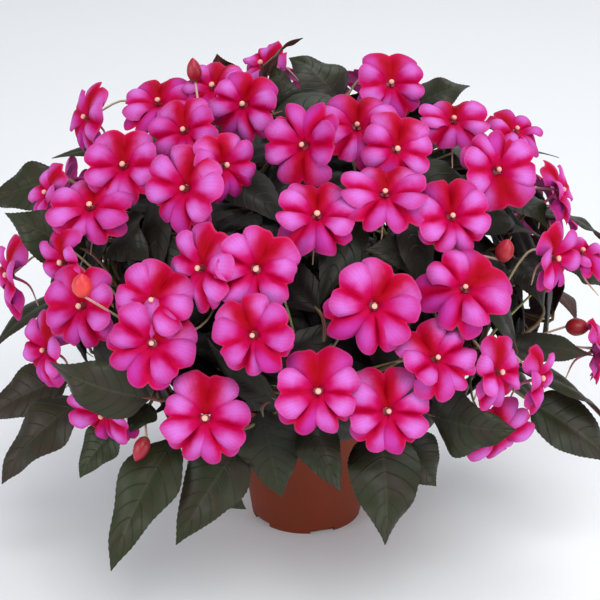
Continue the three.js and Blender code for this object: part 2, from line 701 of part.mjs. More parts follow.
// Puts a bloom at the first step where it is clear of all others, or presses into one neighbour.
function settleBloom(bloom, nodes) {
  for (const step of pushSteps()) {
    const moved = { ...bloom, centre: along(bloom.centre, bloom.push, step * PUSH_STEP) };
    const hits = crossed(bloomSolid(moved, CLEARANCE));
    if (hits.length === 0 && nodes.length < MOST_BLOOM_NODES) {
      const name = `bloom_${String(nodes.length + 1).padStart(2, "0")}`;
      return addBloom(moved, { name, blooms: [], solids: [] }, nodes);
    }
    const node = nodes.find((entry) => entry.name === hits[0]?.node);
    const alone = hits.every((hit) => hit.node === hits[0].node);
    const most = nodes.length < MOST_BLOOM_NODES ? MOST_BLOOMS_FUSED : MOST_FUSED_LATE;
    if (node && alone && node.blooms.length < most) {
      const solid = bloomSolid(moved);
      const shared = hits.reduce((sum, hit) => sum + hit.solid.intersect(solid).volume(), 0);
      if (shared > LEAST_FUSED_VOLUME) {
        return addBloom(moved, node, nodes);
      }
    }
  }
  return null;
}

function addBloom(bloom, node, nodes) {
  const solid = bloomSolid(bloom);
  if (node.blooms.length === 0) {
    nodes.push(node);
  }
  node.blooms.push(bloom);
  node.solids.push(solid);
  stand(node.name, solid);
  return bloom;
}

// The stems, nearest first, to a place.
function nearestStems(place, stems, count) {
  const order = [...stems].sort((a, b) => {
    return a.plan.tip.distanceTo(place) - b.plan.tip.distanceTo(place);
  });
  return order.slice(0, count);
}

// The bends of a pedicel from one stem to one bloom, in the order in which they are tried.
function pedicelRoutes(bloom, plan, stagger) {
  const frame = bloomFrame(bloom);
  const axis = PEDICEL_AXIS.clone().transformDirection(frame);
  const seat = along(PEDICEL_SEAT.clone().applyMatrix4(frame), axis, CLEARANCE);
  const route = (shares, runOut, joint, rise, aside) => {
    const root = plan.curve.getPoint(joint - stagger);
    const chord = seat.clone().sub(root);
    const side = new THREE.Vector3(chord.y, -chord.x, 0).normalize();
    const shift = side.multiplyScalar(aside);
    shift.z += rise;
    const first = along(root, chord, 0.35).add(shift);
    const second = along(seat, axis, runOut).addScaledVector(shift, 0.6);
    const curve = new THREE.CubicBezierCurve3(root, first, second, seat);
    return shares.map((share) => curve.getPoint(share));
  };
  const routes = [];
  for (const shares of PEDICEL_POINTS) {
    for (const runOut of PEDICEL_RUN_OUTS) {
      for (const joint of PEDICEL_JOINTS) {
        for (const rise of PEDICEL_RISES) {
          routes.push(...PEDICEL_SIDEWAYS.map((aside) => route(shares, runOut, joint, rise, aside)));
        }
      }
    }
  }
  return routes;
}

function pedicel(points, spare = 0) {
  const radii = points.map((point, index) => PEDICEL_RADIUS * (index === 0 ? ROOT_TAPER : 1) + spare);
  return sweep(points, radii, PEDICEL_SIDES);
}

// Takes the first route for which the pedicel is clear of other nodes and, past its root, of its own.
function growPedicel(bloom, stems) {
  for (const stem of nearestStems(bloom.centre, stems, PEDICEL_STEMS)) {
    const stagger = (stem.solids.length % 4) * PEDICEL_STAGGER;
    for (const points of pedicelRoutes(bloom, stem.plan, stagger)) {
      const clear = crossed(pedicel(points, CLEARANCE), stem.name).length === 0;
      if (clear && crossed(pedicel(points.slice(1), CLEARANCE)).length === 0) {
        addPiece(stem, pedicel(points));
        return;
      }
    }
  }
}

// Adds a piece that will be fused to its stem.
function addPiece(stem, solid) {
  stem.solids.push(solid);
  stand(stem.name, solid);
}

// The courses of a bud's stalk and bud from one stem: the points that the tube runs through.
function budCourses(centre, axis, plan) {
  const foot = along(centre, axis, -BUD_LENGTH / 2);
  const bud = BUD_SHAPE.map(([share]) => along(foot, axis, share * BUD_LENGTH));
  return PEDICEL_JOINTS.flatMap((joint) => {
    const root = plan.curve.getPoint(joint);
    const chord = foot.clone().sub(root);
    const side = new THREE.Vector3(chord.y, -chord.x, 0).normalize();
    return PEDICEL_RISES.flatMap((rise) => PEDICEL_SIDEWAYS.map((aside) => {
      const middle = along(root, chord, 0.5).addScaledVector(side, aside * BUD_BEND);
      middle.z += rise * BUD_BEND;
      return [root, middle, ...bud];
    }));
  });
}

function budSolid(points, spare = 0) {
  const swell = BUD_SHAPE.map(([, size]) => size * BUD_RADIUS);
  const radii = [PEDICEL_RADIUS * ROOT_TAPER, PEDICEL_RADIUS, ...swell].slice(-points.length);
  return sweep(points, radii.map((radius) => radius + spare), BUD_SIDES);
}

// A bud near its place in the picture, at the first depth and on the first course that is clear.
function growBud(entry, stems) {
  const axis = new THREE.Vector3(...entry.points).normalize();
  const [px, py, y] = entry.at;
  for (const depth of BUD_DEPTHS) {
    const centre = seenAt([px, py, y + depth]);
    for (const stem of nearestStems(centre, stems, PEDICEL_STEMS)) {
      for (const points of budCourses(centre, axis, stem.plan)) {
        const clear = crossed(budSolid(points, CLEARANCE), stem.name).length === 0;
        if (clear && crossed(budSolid(points.slice(1), CLEARANCE)).length === 0) {
          addPiece(stem, budSolid(points));
          return;
        }
      }
    }
  }
}

// A leaf as a flat tube of four corners a ring: the petiole, then the arched and waved blade.
function leafSolid(leaf, spare = 0, bladeOnly = false) {
  const shell = new Shell();
  const chord = leaf.tip.clone().sub(leaf.base);
  const heading = chord.clone().normalize();
  const normal = leaf.normal.clone().addScaledVector(heading, -leaf.normal.dot(heading)).normalize();
  const side = new THREE.Vector3().crossVectors(normal, heading);
  const crest = along(leaf.base, chord, 0.5).addScaledVector(normal, leaf.arch * 2 * chord.length());
  const midrib = new THREE.QuadraticBezierCurve3(leaf.base, crest, leaf.tip);
  const rings = [];
  const addRing = (centre, ahead, width, thickness, wave) => {
    const across = side.clone().addScaledVector(ahead, -side.dot(ahead)).normalize();
    const up = new THREE.Vector3().crossVectors(ahead, across);
    const left = along(centre, across, width).addScaledVector(up, wave);
    const right = along(centre, across, -width).addScaledVector(up, -wave);
    const corners = [
      along(left, up, thickness),
      along(left, up, -thickness),
      along(right, up, -thickness),
      along(right, up, thickness),
    ];
    rings.push(corners.map((corner) => shell.corner(corner)));
  };
  const narrow = PETIOLE_HALF_WIDTH + spare;
  const thick = PETIOLE_HALF_THICKNESS + spare;
  if (!bladeOnly) {
    const ahead = leaf.base.clone().sub(leaf.root).normalize();
    addRing(leaf.root, ahead, PETIOLE_HALF_WIDTH * ROOT_TAPER + spare, thick, 0);
  }
  addRing(leaf.base, heading, narrow, thick, 0);
  leaf.blade.forEach(([share, breadth], index) => {
    const wave = leaf.wide * EDGE_WAVE * (index % 2 === 0 ? 1 : -1) * leaf.sway;
    const width = (leaf.wide / 2) * breadth + spare;
    addRing(midrib.getPoint(share), midrib.getTangent(share), width, LEAF_THICKNESS / 2 + spare, wave);
  });
  for (let index = 0; index + 1 < rings.length; index += 1) {
    const [a, b, c, d] = rings[index];
    const [e, f, g, h] = rings[index + 1];
    shell.quad(a, e, f, b);
    shell.quad(f, g, c, b);
    shell.quad(c, g, h, d);
    shell.quad(d, h, e, a);
  }
  const last = rings[rings.length - 1];
  const tipUp = new THREE.Vector3().crossVectors(midrib.getTangent(1), side);
  const tip = along(leaf.tip, heading, spare);
  const tipTop = shell.corner(along(tip, tipUp, LEAF_THICKNESS / 2 + spare));
  const tipBottom = shell.corner(along(tip, tipUp, -LEAF_THICKNESS / 2 - spare));
  shell.triangle(last[3], tipTop, last[0]);
  shell.triangle(last[1], tipBottom, last[2]);
  shell.quad(last[0], tipTop, tipBottom, last[1]);
  shell.quad(last[2], tipBottom, tipTop, last[3]);
  shell.quad(...rings[0]);
  return shell.solid();
}

// Adds a leaf to its stem if it is clear of everything that stands.
function growLeaf(leaf, stem) {
  if (crossed(leafSolid(leaf, CLEARANCE), stem.name).length > 0) {
    return false;
  }
  if (crossed(leafSolid(leaf, CLEARANCE, true)).length > 0) {
    return false;
  }
  addPiece(stem, leafSolid(leaf));
  return true;
}

// A large leaf between two places in the picture, tried at several depths and from several stems.
function growSeenLeaf(entry, index, stems) {
  const draws = new Draws(900 + index);
  const sway = draws.between(0.6, 1.2);
  for (const depth of LEAF_DEPTHS) {
    const deeper = ([px, py, y]) => seenAt([px, py, y + depth]);
    const base = deeper(entry.from);
    const tip = deeper(entry.to);
    const middle = along(base, tip.clone().sub(base), 0.5);
    const outward = middle.clone().sub(new THREE.Vector3(0, 0, MOUND_CENTRE_Z - 40));
    const heading = tip.clone().sub(base).normalize();
    const normal = outward.clone().addScaledVector(heading, -outward.dot(heading)).normalize();
    normal.applyAxisAngle(heading, radians(entry.turn));
    for (const stem of nearestStems(base, stems, LEAF_STEMS)) {
      for (const joint of LEAF_JOINTS) {
        const root = stem.plan.curve.getPoint(joint);
        const approach = base.clone().sub(root);
        if (approach.dot(heading) < approach.length() * SHARPEST_APPROACH) {
          continue;
        }
        const leaf = { root, base, tip, normal, wide: entry.wide, arch: entry.arch, sway };
        leaf.blade = LARGE_BLADE;
        if (growLeaf(leaf, stem)) {
          return;
        }
      }
    }
  }
}

// How far out a place lies, as a share of the way from the mound's centre to its surface.
function moundShare(place) {
  const flat = Math.hypot(place.x, place.y) / MOUND_RADIUS;
  return Math.hypot(flat, (place.z - MOUND_CENTRE_Z) / MOUND_HALF_HEIGHT);
}

function leafMayReach(tip) {
  const low = tip.z < LOW_LEAF_Z;
  if (low && tip.y < LOW_LEAF_FRONT) {
    return false;
  }
  const share = low || tip.y > 40 ? 1.06 : UNDER_BLOOMS;
  return Math.hypot(tip.x, tip.y) < LEAF_REACH && tip.z > LEAF_LOW && (low || moundShare(tip) < share);
}

// The plan of a whorl's leaf from its turn, its rise and its size.
function ruleLeaf(root, turnDeg, riseDeg, size, traits) {
  const rise = radians(riseDeg);
  const fall = radians(riseDeg - RULE_DROOP_DEG);
  const flat = new THREE.Vector3(Math.cos(radians(turnDeg)), Math.sin(radians(turnDeg)), 0);
  const start = flat.clone().multiplyScalar(Math.cos(rise)).setZ(Math.sin(rise));
  const heading = flat.clone().multiplyScalar(Math.cos(fall)).setZ(Math.sin(fall));
  const base = along(root, start, RULE_PETIOLE * size);
  const tip = along(base, heading, traits.length * size);
  const normal = new THREE.Vector3(0, 0, 1);
  return { root, base, tip, normal, wide: RULE_LEAF_WIDTH * size, blade: SMALL_BLADE, ...traits };
}

// Grows a leaf of a whorl at the first size, lift and swing where it is clear.
function growRuleLeaf(stem, whorl, turnDeg, seed, stagger) {
  const draws = new Draws(seed);
  const length = RULE_LEAF_LENGTH * draws.between(0.88, 1.15);
  const sway = draws.between(0.6, 1.2);
  const arch = draws.between(0.06, 0.14);
  const lift = whorl.lift + draws.between(-10, 10);
  const root = stem.plan.curve.getPoint(whorl.at - stagger);
  for (const size of LEAF_SIZES) {
    for (const lifted of LEAF_LIFTS) {
      for (const swing of LEAF_SWINGS) {
        const leaf = ruleLeaf(root, turnDeg + swing, lift + lifted, size, { length, sway, arch });
        if (leafMayReach(leaf.tip) && growLeaf(leaf, stem)) {
          return;
        }
      }
    }
  }
}

// Grows a stem's whorls, each leaf of a whorl a little lower than the one before.
function growWhorls(stem, stemIndex) {
  WHORLS.forEach((whorl, whorlIndex) => {
    for (let k = 0; k < whorl.leaves; k += 1) {
      const seed = 2000 + stemIndex * 50 + whorlIndex * 10 + k;
      const turnDeg = stemIndex * 47 + whorlIndex * 60 + (360 / whorl.leaves) * k;
      growRuleLeaf(stem, whorl, turnDeg, seed, k * WHORL_STAGGER);
    }
  });
}

const material = {
  pot: new THREE.MeshStandardMaterial({ name: "terracotta_plastic", color: 0x7a3a2a, roughness: 0.55 }),
  soil: new THREE.MeshStandardMaterial({ name: "peat", color: 0x2a1f19, roughness: 0.95 }),
  leaf: new THREE.MeshStandardMaterial({ name: "leaf", color: 0x3f4638, roughness: 0.45 }),
  bloom: new THREE.MeshStandardMaterial({ name: "petal", color: 0xe0409c, roughness: 0.6 }),
};

const plant = new THREE.Group();

function addNode(name, solid, look) {
  const node = new THREE.Mesh(geometryOf(solid), look);
  node.name = name;
  plant.add(node);
}

const plans = stemPlans();
const stems = plans.map((plan, index) => {
  const name = `leafy_stem_${String(index + 1).padStart(2, "0")}`;
  const trunk = stemTrunk(plan);
  stand(name, trunk);
  return { name, plan, solids: [trunk] };
});

const potSolid = pot();
stand("pot", potSolid);
const soilSolid = soil(plans);
stand("soil", soilSolid);

const bloomNodes = [];
const seenPlans = SEEN_BLOOMS.map(seenBloom);
[...seenPlans, ...farBlooms(seenPlans)].forEach((bloom) => settleBloom(bloom, bloomNodes));
bloomNodes.flatMap((node) => node.blooms).forEach((bloom) => growPedicel(bloom, stems));
SEEN_BUDS.forEach((entry) => growBud(entry, stems));
SEEN_LEAVES.forEach((entry, index) => growSeenLeaf(entry, index, stems));
stems.forEach(growWhorls);

addNode("pot", potSolid, material.pot);
addNode("soil", soilSolid, material.soil);
stems.forEach((stem) => addNode(stem.name, fuse(stem.solids), material.leaf));
bloomNodes.forEach((node) => addNode(node.name, fuse(node.solids), material.bloom));

export default plant;
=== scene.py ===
# A potted New Guinea impatiens with fine petals, leaves, stems and buds, in its pot.
# The plans are in millimetres and the meshes in metres. The viewer stands at -Y.
# Each bloom, pedicel, bud and leaf stands where the frame has it: the bends that the part may take are
# gone through in their order until one is found whose corners are corners of the frame's own node.

import math
from itertools import product

import bpy
import numpy as np
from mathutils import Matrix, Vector
from mathutils.bvhtree import BVHTree
from mathutils.kdtree import KDTree


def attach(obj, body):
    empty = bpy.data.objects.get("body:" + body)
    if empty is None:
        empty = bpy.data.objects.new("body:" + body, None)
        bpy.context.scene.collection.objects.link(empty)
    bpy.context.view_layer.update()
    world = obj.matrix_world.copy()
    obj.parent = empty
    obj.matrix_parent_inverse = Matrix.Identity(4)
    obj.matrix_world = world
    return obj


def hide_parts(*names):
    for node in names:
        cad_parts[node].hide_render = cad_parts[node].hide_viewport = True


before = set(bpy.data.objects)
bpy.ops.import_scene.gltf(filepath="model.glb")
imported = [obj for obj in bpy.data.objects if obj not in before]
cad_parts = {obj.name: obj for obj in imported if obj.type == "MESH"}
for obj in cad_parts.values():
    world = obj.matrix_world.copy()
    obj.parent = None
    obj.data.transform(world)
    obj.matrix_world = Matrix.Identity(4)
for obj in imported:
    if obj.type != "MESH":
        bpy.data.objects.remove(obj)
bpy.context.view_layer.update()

MM = 0.001
SAME_PLACE = 0.03
UP = np.array([0, 0, 1.0])

# Pot and soil
POT_HEIGHT = 105
POT_FOOT_RADIUS = 42.5
POT_NECK_RADIUS = 55.5
POT_RIM_RADIUS = 60
POT_RIM_HEIGHT = 15
POT_WALL = 2.2
POT_FLOOR = 3
POT_SEGMENTS = 120
DRAIN_SLOTS = 5
DRAIN_SLOT_SIZE = (9, 19, 7.2)
FIRST_DRAIN_SLOT_DEG = -73
BOX_FACES = [(3, 2, 1, 0), (4, 5, 6, 7), (0, 1, 5, 4), (1, 2, 6, 5), (2, 3, 7, 6), (3, 0, 4, 7)]
SOIL_TOP = 90
SOIL_BOTTOM = 4
SOIL_RINGS = 30
SOIL_SEGMENTS = 90

# Viewer
EYE = np.array([-5.0, -1363.0, 756.0])
LOOK_DOWN_DEG = 23
PICTURE_CENTRE = 300
PICTURE_SCALE = 1968

# Mound on which the blooms' centres lie
MOUND_RADIUS = 218
MOUND_HALF_HEIGHT = 150
MOUND_CENTRE_Z = 200

# Stems: rings of stems, each with its number, how far its tips spread, their height and foot radius
STEM_RINGS = [
    {"count": 1, "spread": 12, "height": 288, "foot": 3, "first_deg": 90},
    {"count": 4, "spread": 98, "height": 258, "foot": 20, "first_deg": 45},
    {"count": 7, "spread": 162, "height": 176, "foot": 38, "first_deg": -90},
]
STEM_RADIUS = 4.6
STEM_TIP_RADIUS = 3.2
STEM_STRAIGHT = 5

# Blooms: the part's own sizes, and how far and in what steps a bloom may be pushed
THROAT_RADIUS = 4
COLUMN_HEIGHT = 4
BLOOM_SPAN = 66
PUSH_STEP = 4
PUSH_STEPS = 13
CLEARANCE = 0.35

# Petals: what those of one kind share, with their slope in degrees and their paint, and then each one's
# axis in degrees from the bloom's right and its half widths to each side
PETAL_KINDS = {
    "side": {"reach": 29.5, "pitch": 11, "notch": 0.88, "lobe": 9.5, "paint": 0.0},
    "low": {"reach": 31.5, "pitch": -11, "notch": 0.86, "lobe": 9, "paint": 0.3},
    "back": {"reach": 30, "pitch": -2, "notch": 0.91, "lobe": 11, "paint": 0.6},
}
PETALS = [
    {"kind": "side", "at": -3, "right": 15.5, "left": 16.5},
    {"kind": "back", "at": 90, "right": 20.5, "left": 20.5},
    {"kind": "side", "at": 183, "right": 16.5, "left": 15.5},
    {"kind": "low", "at": 234, "right": 14, "left": 13},
    {"kind": "low", "at": 306, "right": 13, "left": 14},
]
SPUR_ROOT = np.array([0, -1.5, -5.0])
SPUR_BEND = np.array([0, -7, -17.0])
SPUR_TIP = np.array([0, -22, -26.0])

# Pedicels
PEDICEL_SEAT = np.array([0, 1.45, -2.9])
PEDICEL_AXIS = np.array([0, 0.69, -0.724])
PEDICEL_RADIUS = 1.0
PEDICEL_SIDES = 3
PEDICEL_STEMS = 6
PEDICEL_JOINTS = [0.93, 0.8, 0.66, 0.5]
PEDICEL_STAGGER = 0.026
PEDICEL_SIDEWAYS = [0, 14, -14, 28, -28]
PEDICEL_RISES = [0, 14, -14, 30]
PEDICEL_RUN_OUTS = [16, 7]
PEDICEL_POINTS = [[0, 0.55, 1], [0, 0.3, 0.66, 1], [0, 0.4, 0.84, 1]]
ROOT_TAPER = 0.7

# Leaves
LEAF_THICKNESS = 0.8
PETIOLE_HALF_WIDTH = 1.3
PETIOLE_HALF_THICKNESS = 0.9
EDGE_WAVE = 0.06
LEAF_DEPTHS = [0, -5, 5, -10, 10, -16, 16, -24, 24, -34, 34, -46, 46, 60]
LEAF_JOINTS = [0.9, 0.72, 0.55, 0.4]
LEAF_SWINGS = [0, 14, -14, 28, -28]
LEAF_LIFTS = [0, 14, -14, 30, -30]
LEAF_SIZES = [1, 0.8]

# Blooms that the viewer sees: picture place, span, turn to the right, upward lift and clockwise roll
SEEN_BLOOMS = [
    (318, 391, 60, 0, 26, 0),
    (205, 418, 63, -3, 27, 8),
    (388, 411, 61, 10, 26, 4),
    (152, 343, 64, -4, 26, 35),
    (374, 306, 66, 6, 25, 33),
    (256, 269, 60, 0, 25, 28),
    (80, 306, 60, -26, 24, -6),
    (465, 288, 65, 14, 50, 62),
    (452, 216, 56, 14, 38, 0),
    (184, 188, 62, -28, 22, 12),
    (123, 165, 59, -14, 42, -8),
    (90, 206, 66, -18, 60, -4),
    (385, 193, 64, 8, 62, 8),
    (317, 215, 59, 4, 56, 8),
    (498, 170, 61, 18, 27, 178),
    (303, 145, 60, -26, 22, 168),
    (357, 126, 63, 5, 56, 4),
    (391, 83, 56, 12, 42, 6),
    (243, 104, 54, -12, 28, 14),
    (158, 102, 58, -14, 68, -10),
    (253, 335, 58, -10, 22, -22),
    (152, 300, 58, -14, 30, 22),
    (200, 268, 62, -46, 18, 8),
    (437, 358, 56, 22, 42, -16),
    (45, 350, 58, -56, 14, 0),
    (103, 415, 54, -36, -10, 8),
    (500, 436, 58, 22, -16, -24),
    (500, 372, 52, 50, 18, 12),
    (540, 378, 50, 68, 8, 0),
    (556, 258, 54, 52, 12, -10),
    (561, 190, 52, 76, 24, 0),
    (516, 130, 50, 52, 62, 0),
    (454, 120, 56, 12, 72, 10),
    (225, 165, 50, 38, 22, 0),
    (184, 130, 54, -22, 38, -20),
    (86, 117, 58, -64, 20, 0),
    (397, 149, 56, 16, 30, 20),
    (262, 64, 44, -62, 52, 20),
    (213, 86, 52, -30, 48, 0),
    (8, 275, 62, -74, 12, 0),
    (47, 193, 50, -70, 30, 10),
    (582, 252, 42, 66, 74, 0),
    (597, 350, 50, 80, 10, 0),
    (62, 262, 48, -48, 8, -14),
]

# Blooms on the far side, by rule
SPIRAL_POINTS = 130
SPIRAL_TURN_DEG = 137.508
SPIRAL_LOW = -0.42
HIDDEN_SIDE = 0.3
SPRAY_SPACING = 76
SEEN_SPACING = 58
SPRAY_HALF_WIDTH = 23
MOST_FAR_SPRAYS = 9
FAR_BLOOM_SPAN = 58

# Large leaves that the viewer sees: base and tip in the picture with their distance behind the axis,
# then width, arch and turn
SEEN_LEAVES = [
    ((176, 436, -150), (111, 571, -196), 44, 0.1, 0),
    ((262, 410, -166), (282, 497, -172), 44, 0.08, -8),
    ((243, 440, -160), (176, 545, -186), 44, 0.1, 12),
    ((378, 428, -156), (385, 545, -190), 54, 0.12, 0),
    ((306, 420, -170), (341, 492, -196), 30, 0.1, -10),
    ((430, 414, -150), (516, 430, -176), 50, 0.12, 0),
    ((398, 436, -150), (436, 486, -156), 40, 0.1, 0),
    ((528, 400, -84), (612, 462, -70), 42, 0.1, 0),
    ((150, 398, -142), (50, 362, -132), 44, 0.14, 0),
    ((84, 398, -96), (2, 484, -104), 42, 0.12, 0),
    ((70, 376, -60), (-14, 420, -52), 40, 0.12, 0),
    ((118, 424, -130), (80, 478, -138), 30, 0.1, 0),
    ((150, 404, -146), (130, 432, -160), 24, 0.1, 0),
    ((190, 452, -150), (246, 509, -156), 38, 0.1, 0),
    ((86, 250, -70), (5, 213, -66), 42, 0.1, 0),
    ((62, 180, 30), (-10, 206, 44), 40, 0.12, -40),
    ((512, 256, -70), (543, 310, -96), 34, 0.14, 20),
    ((505, 350, -110), (594, 356, -84), 26, 0.1, -40),
    ((540, 214, -10), (608, 246, -20), 36, 0.14, -5),
    ((562, 252, -30), (606, 292, -40), 36, 0.1, 20),
    ((416, 106, 60), (470, 86, 66), 38, 0.1, 45),
    ((340, 104, 40), (289, 58, 66), 48, 0.14, -30),
    ((284, 112, 10), (273, 66, 30), 30, 0.14, 20),
    ((262, 92, 30), (303, 38, 26), 30, 0.16, 0),
    ((232, 100, 50), (217, 54, 50), 30, 0.1, 0),
    ((506, 194, -10), (546, 228, -50), 34, 0.1, 40),
    ((250, 214, -60), (206, 248, -110), 40, 0.12, 0),
    ((350, 250, -70), (300, 276, -128), 40, 0.12, 0),
    ((420, 260, -70), (366, 250, -120), 40, 0.12, 0),
    ((120, 226, -70), (150, 262, -120), 38, 0.12, 0),
    ((300, 320, -100), (318, 352, -150), 40, 0.12, 0),
    ((420, 330, -100), (404, 352, -150), 36, 0.12, 0),
]

# Leaves by rule: where the whorls stand on each stem, how many leaves each has and their lift
WHORLS = [(0.55, 1, -8), (0.97, 3, 14)]
RULE_LEAF_LENGTH = 96
RULE_LEAF_WIDTH = 38
RULE_PETIOLE = 24
WHORL_STAGGER = 0.04
RULE_DROOP_DEG = 18

# Buds that the viewer sees: picture place with its distance behind the axis, and where each points
SEEN_BUDS = [
    ((82, 285, -176), (0, -0.3, 1)),
    ((505, 250, -120), (0.2, -0.3, 1)),
    ((578, 327, -50), (1, -0.3, 0.1)),
    ((141, 449, -176), (-0.5, -0.5, -1)),
    ((194, 70, 20), (-0.1, 0, 1)),
]
BUD_LENGTH = 18
BUD_RADIUS = 6.2
BUD_SIDES = 4
BUD_SHAPE = [(0, 0.3), (0.4, 1), (0.75, 0.72), (1, 0.14)]
BUD_BEND = 0.65
BUD_DEPTHS = [0, -6, 6, -12, 12, -20, 20, -30, 30]


class Draws:
    """Numbers from 0 to 1, the same ones each time for one seed, as the part draws them."""

    def __init__(self, seed):
        self.state = (seed * 7919 + 104729) % 4294967296
        self.next()
        self.next()

    def next(self):
        self.state = (self.state * 1664525 + 1013904223) % 4294967296
        return self.state / 4294967296

    def between(self, low, high):
        return low + (high - low) * self.next()


def unit(vector):
    return vector / np.linalg.norm(vector)


def rotated(vector, axis, angle):
    """A vector turned about a unit axis."""
    cos, sin = math.cos(angle), math.sin(angle)
    return vector * cos + np.cross(axis, vector) * sin + axis * (axis @ vector) * (1 - cos)


def level(degrees):
    """The level direction at an angle from +X towards +Y."""
    return np.array([math.cos(math.radians(degrees)), math.sin(math.radians(degrees)), 0])


def sight_direction(px, py):
    look = math.radians(LOOK_DOWN_DEG)
    forward = np.array([0, math.cos(look), -math.sin(look)])
    up = np.array([0, math.sin(look), math.cos(look)])
    right = np.array([(px - PICTURE_CENTRE) / PICTURE_SCALE, 0, 0])
    return unit(forward + right - up * ((py - PICTURE_CENTRE) / PICTURE_SCALE))


def seen_at(px, py, y):
    direction = sight_direction(px, py)
    return EYE + direction * ((y - EYE[1]) / direction[1])


def seen_on_mound(px, py):
    squeeze = MOUND_RADIUS / MOUND_HALF_HEIGHT
    direction = sight_direction(px, py)
    start = np.array([EYE[0], EYE[1], (EYE[2] - MOUND_CENTRE_Z) * squeeze])
    heading = direction * np.array([1, 1, squeeze])
    a = heading @ heading
    b = start @ heading
    c = start @ start - MOUND_RADIUS * MOUND_RADIUS
    reach = math.sqrt(max(b * b - a * c, 0))
    return EYE + direction * ((-b - reach) / a)


def facing_direction(turn, lift):
    turn, lift = math.radians(turn), math.radians(lift)
    flat = math.cos(lift)
    return np.array([math.sin(turn) * flat, -math.cos(turn) * flat, math.sin(lift)])


def bezier(guides, t):
    """Points at the shares t of the curve that its guide points draw."""
    t = np.asarray(t, float)[..., None]
    while len(guides) > 1:
        guides = [a + (b - a) * t for a, b in zip(guides, guides[1:])]
    return guides[0]


def bezier_heading(guides, t):
    way = bezier([b - a for a, b in zip(guides, guides[1:])], t)
    return way / np.linalg.norm(way, axis=-1, keepdims=True)


def smooth_step(low, high, value):
    share = np.clip((np.asarray(value, float) - low) / (high - low), 0, 1)
    return share * share * (3 - 2 * share)


def rounded_profile(keys, t):
    """A smooth curve through (share, value) keys, without overshoot where the keys rise and fall."""
    x = np.array([key[0] for key in keys], float)
    y = np.array([key[1] for key in keys], float)
    step = np.diff(x)
    slope = np.diff(y) / step
    tangent = np.zeros_like(y)
    inner = slope[:-1] * slope[1:] > 0
    tangent[1:-1][inner] = (2 * slope[:-1] * slope[1:] / (slope[:-1] + slope[1:] + 1e-12))[inner]
    tangent[0], tangent[-1] = slope[0], slope[-1]
    place = np.clip(np.searchsorted(x, t, side="right") - 1, 0, len(step) - 1)
    h = step[place]
    s = (np.asarray(t, float) - x[place]) / h
    low = (1 + 2 * s) * (1 - s) ** 2 * y[place] + s * (1 - s) ** 2 * h * tangent[place]
    high = s * s * (3 - 2 * s) * y[place + 1] + s * s * (s - 1) * h * tangent[place + 1]
    return low + high


def smooth_line(keys, steps):
    """Points of a Catmull-Rom curve through the keys, with even steps between each two."""
    keys = np.asarray(keys, float)
    padded = np.vstack([2 * keys[0] - keys[1], keys, 2 * keys[-1] - keys[-2]])
    t = np.linspace(0, 1, steps, endpoint=False)[:, None]
    points = []
    for p0, p1, p2, p3 in zip(padded, padded[1:], padded[2:], padded[3:]):
        a = 2 * p1 + (p2 - p0) * t
        b = (2 * p0 - 5 * p1 + 4 * p2 - p3) * t ** 2
        c = (3 * p1 - p0 - 3 * p2 + p3) * t ** 3
        points.append((a + b + c) / 2)
    return np.vstack(points + [keys[-1:]])


def even_line(points, count):
    """The same line with points at even distances."""
    lengths = np.concatenate([[0], np.cumsum(np.linalg.norm(np.diff(points, axis=0), axis=1))])
    places = np.linspace(0, lengths[-1], count)
    return np.stack([np.interp(places, lengths, points[:, axis]) for axis in range(points.shape[1])], axis=1)


def corners_of(name):
    """A node's corners in millimetres."""
    return [vertex.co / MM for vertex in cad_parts[name].data.vertices]


def faces_of(names):
    """The faces of some nodes as one tree, to find what lies near them or crosses them."""
    corners = []
    faces = []
    for name in names:
        start = len(corners)
        corners += corners_of(name)
        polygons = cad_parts[name].data.polygons
        faces += [tuple(corner + start for corner in face.vertices) for face in polygons]
    return BVHTree.FromPolygons(corners, faces)


class Landmarks:
    """The corners of some nodes, with the node that each belongs to."""

    def __init__(self, names):
        marks = [(corner, name) for name in names for corner in corners_of(name)]
        self.owners = [name for _, name in marks]
        self.tree = KDTree(len(marks))
        for index, (corner, _) in enumerate(marks):
            self.tree.insert(corner, index)
        self.tree.balance()

    def owner(self, place):
        """The node that has a corner at the place, or None."""
        _, index, distance = self.tree.find(Vector(place))
        return self.owners[index] if distance < SAME_PLACE else None


STEM_NAMES = [f"leafy_stem_{index:02d}" for index in range(1, 13)]
BLOOM_NAMES = sorted(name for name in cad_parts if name.startswith("bloom_"))


def sweep_rings(points, radii, sides):
    """The corners of a tube as the part makes it, ring by ring."""
    points = [np.asarray(point, float) for point in points]
    start = unit(points[1] - points[0])
    side = np.cross(UP if abs(start[2]) < 0.9 else level(0), start)
    angles = 2 * math.pi * np.arange(sides) / sides
    rings = []
    for index, point in enumerate(points):
        before = points[max(index - 1, 0)]
        after = points[min(index + 1, len(points) - 1)]
        heading = unit(after - before)
        side = unit(side - heading * (side @ heading))
        rise = np.cross(heading, side)
        offsets = np.outer(np.cos(angles), side) + np.outer(np.sin(angles), rise)
        rings.append(point + offsets * radii[index])
    return np.array(rings)


def stem_plans():
    """The curve of each main stem, from its foot in the soil to its tip."""
    plans = []
    for ring in STEM_RINGS:
        for index in range(ring["count"]):
            outward = level(ring["first_deg"] + 360 / ring["count"] * index)
            foot = outward * ring["foot"] + UP * (SOIL_TOP + STEM_STRAIGHT)
            tip = outward * ring["spread"] + UP * ring["height"]
            climb = ring["height"] - foot[2]
            rise = foot + outward * 4 + UP * climb * 0.55
            lean = tip - outward * ring["spread"] * 0.3 - UP * climb * 0.12
            plans.append({"name": STEM_NAMES[len(plans)], "curve": (foot, rise, lean, tip), "pieces": 1})
    return plans


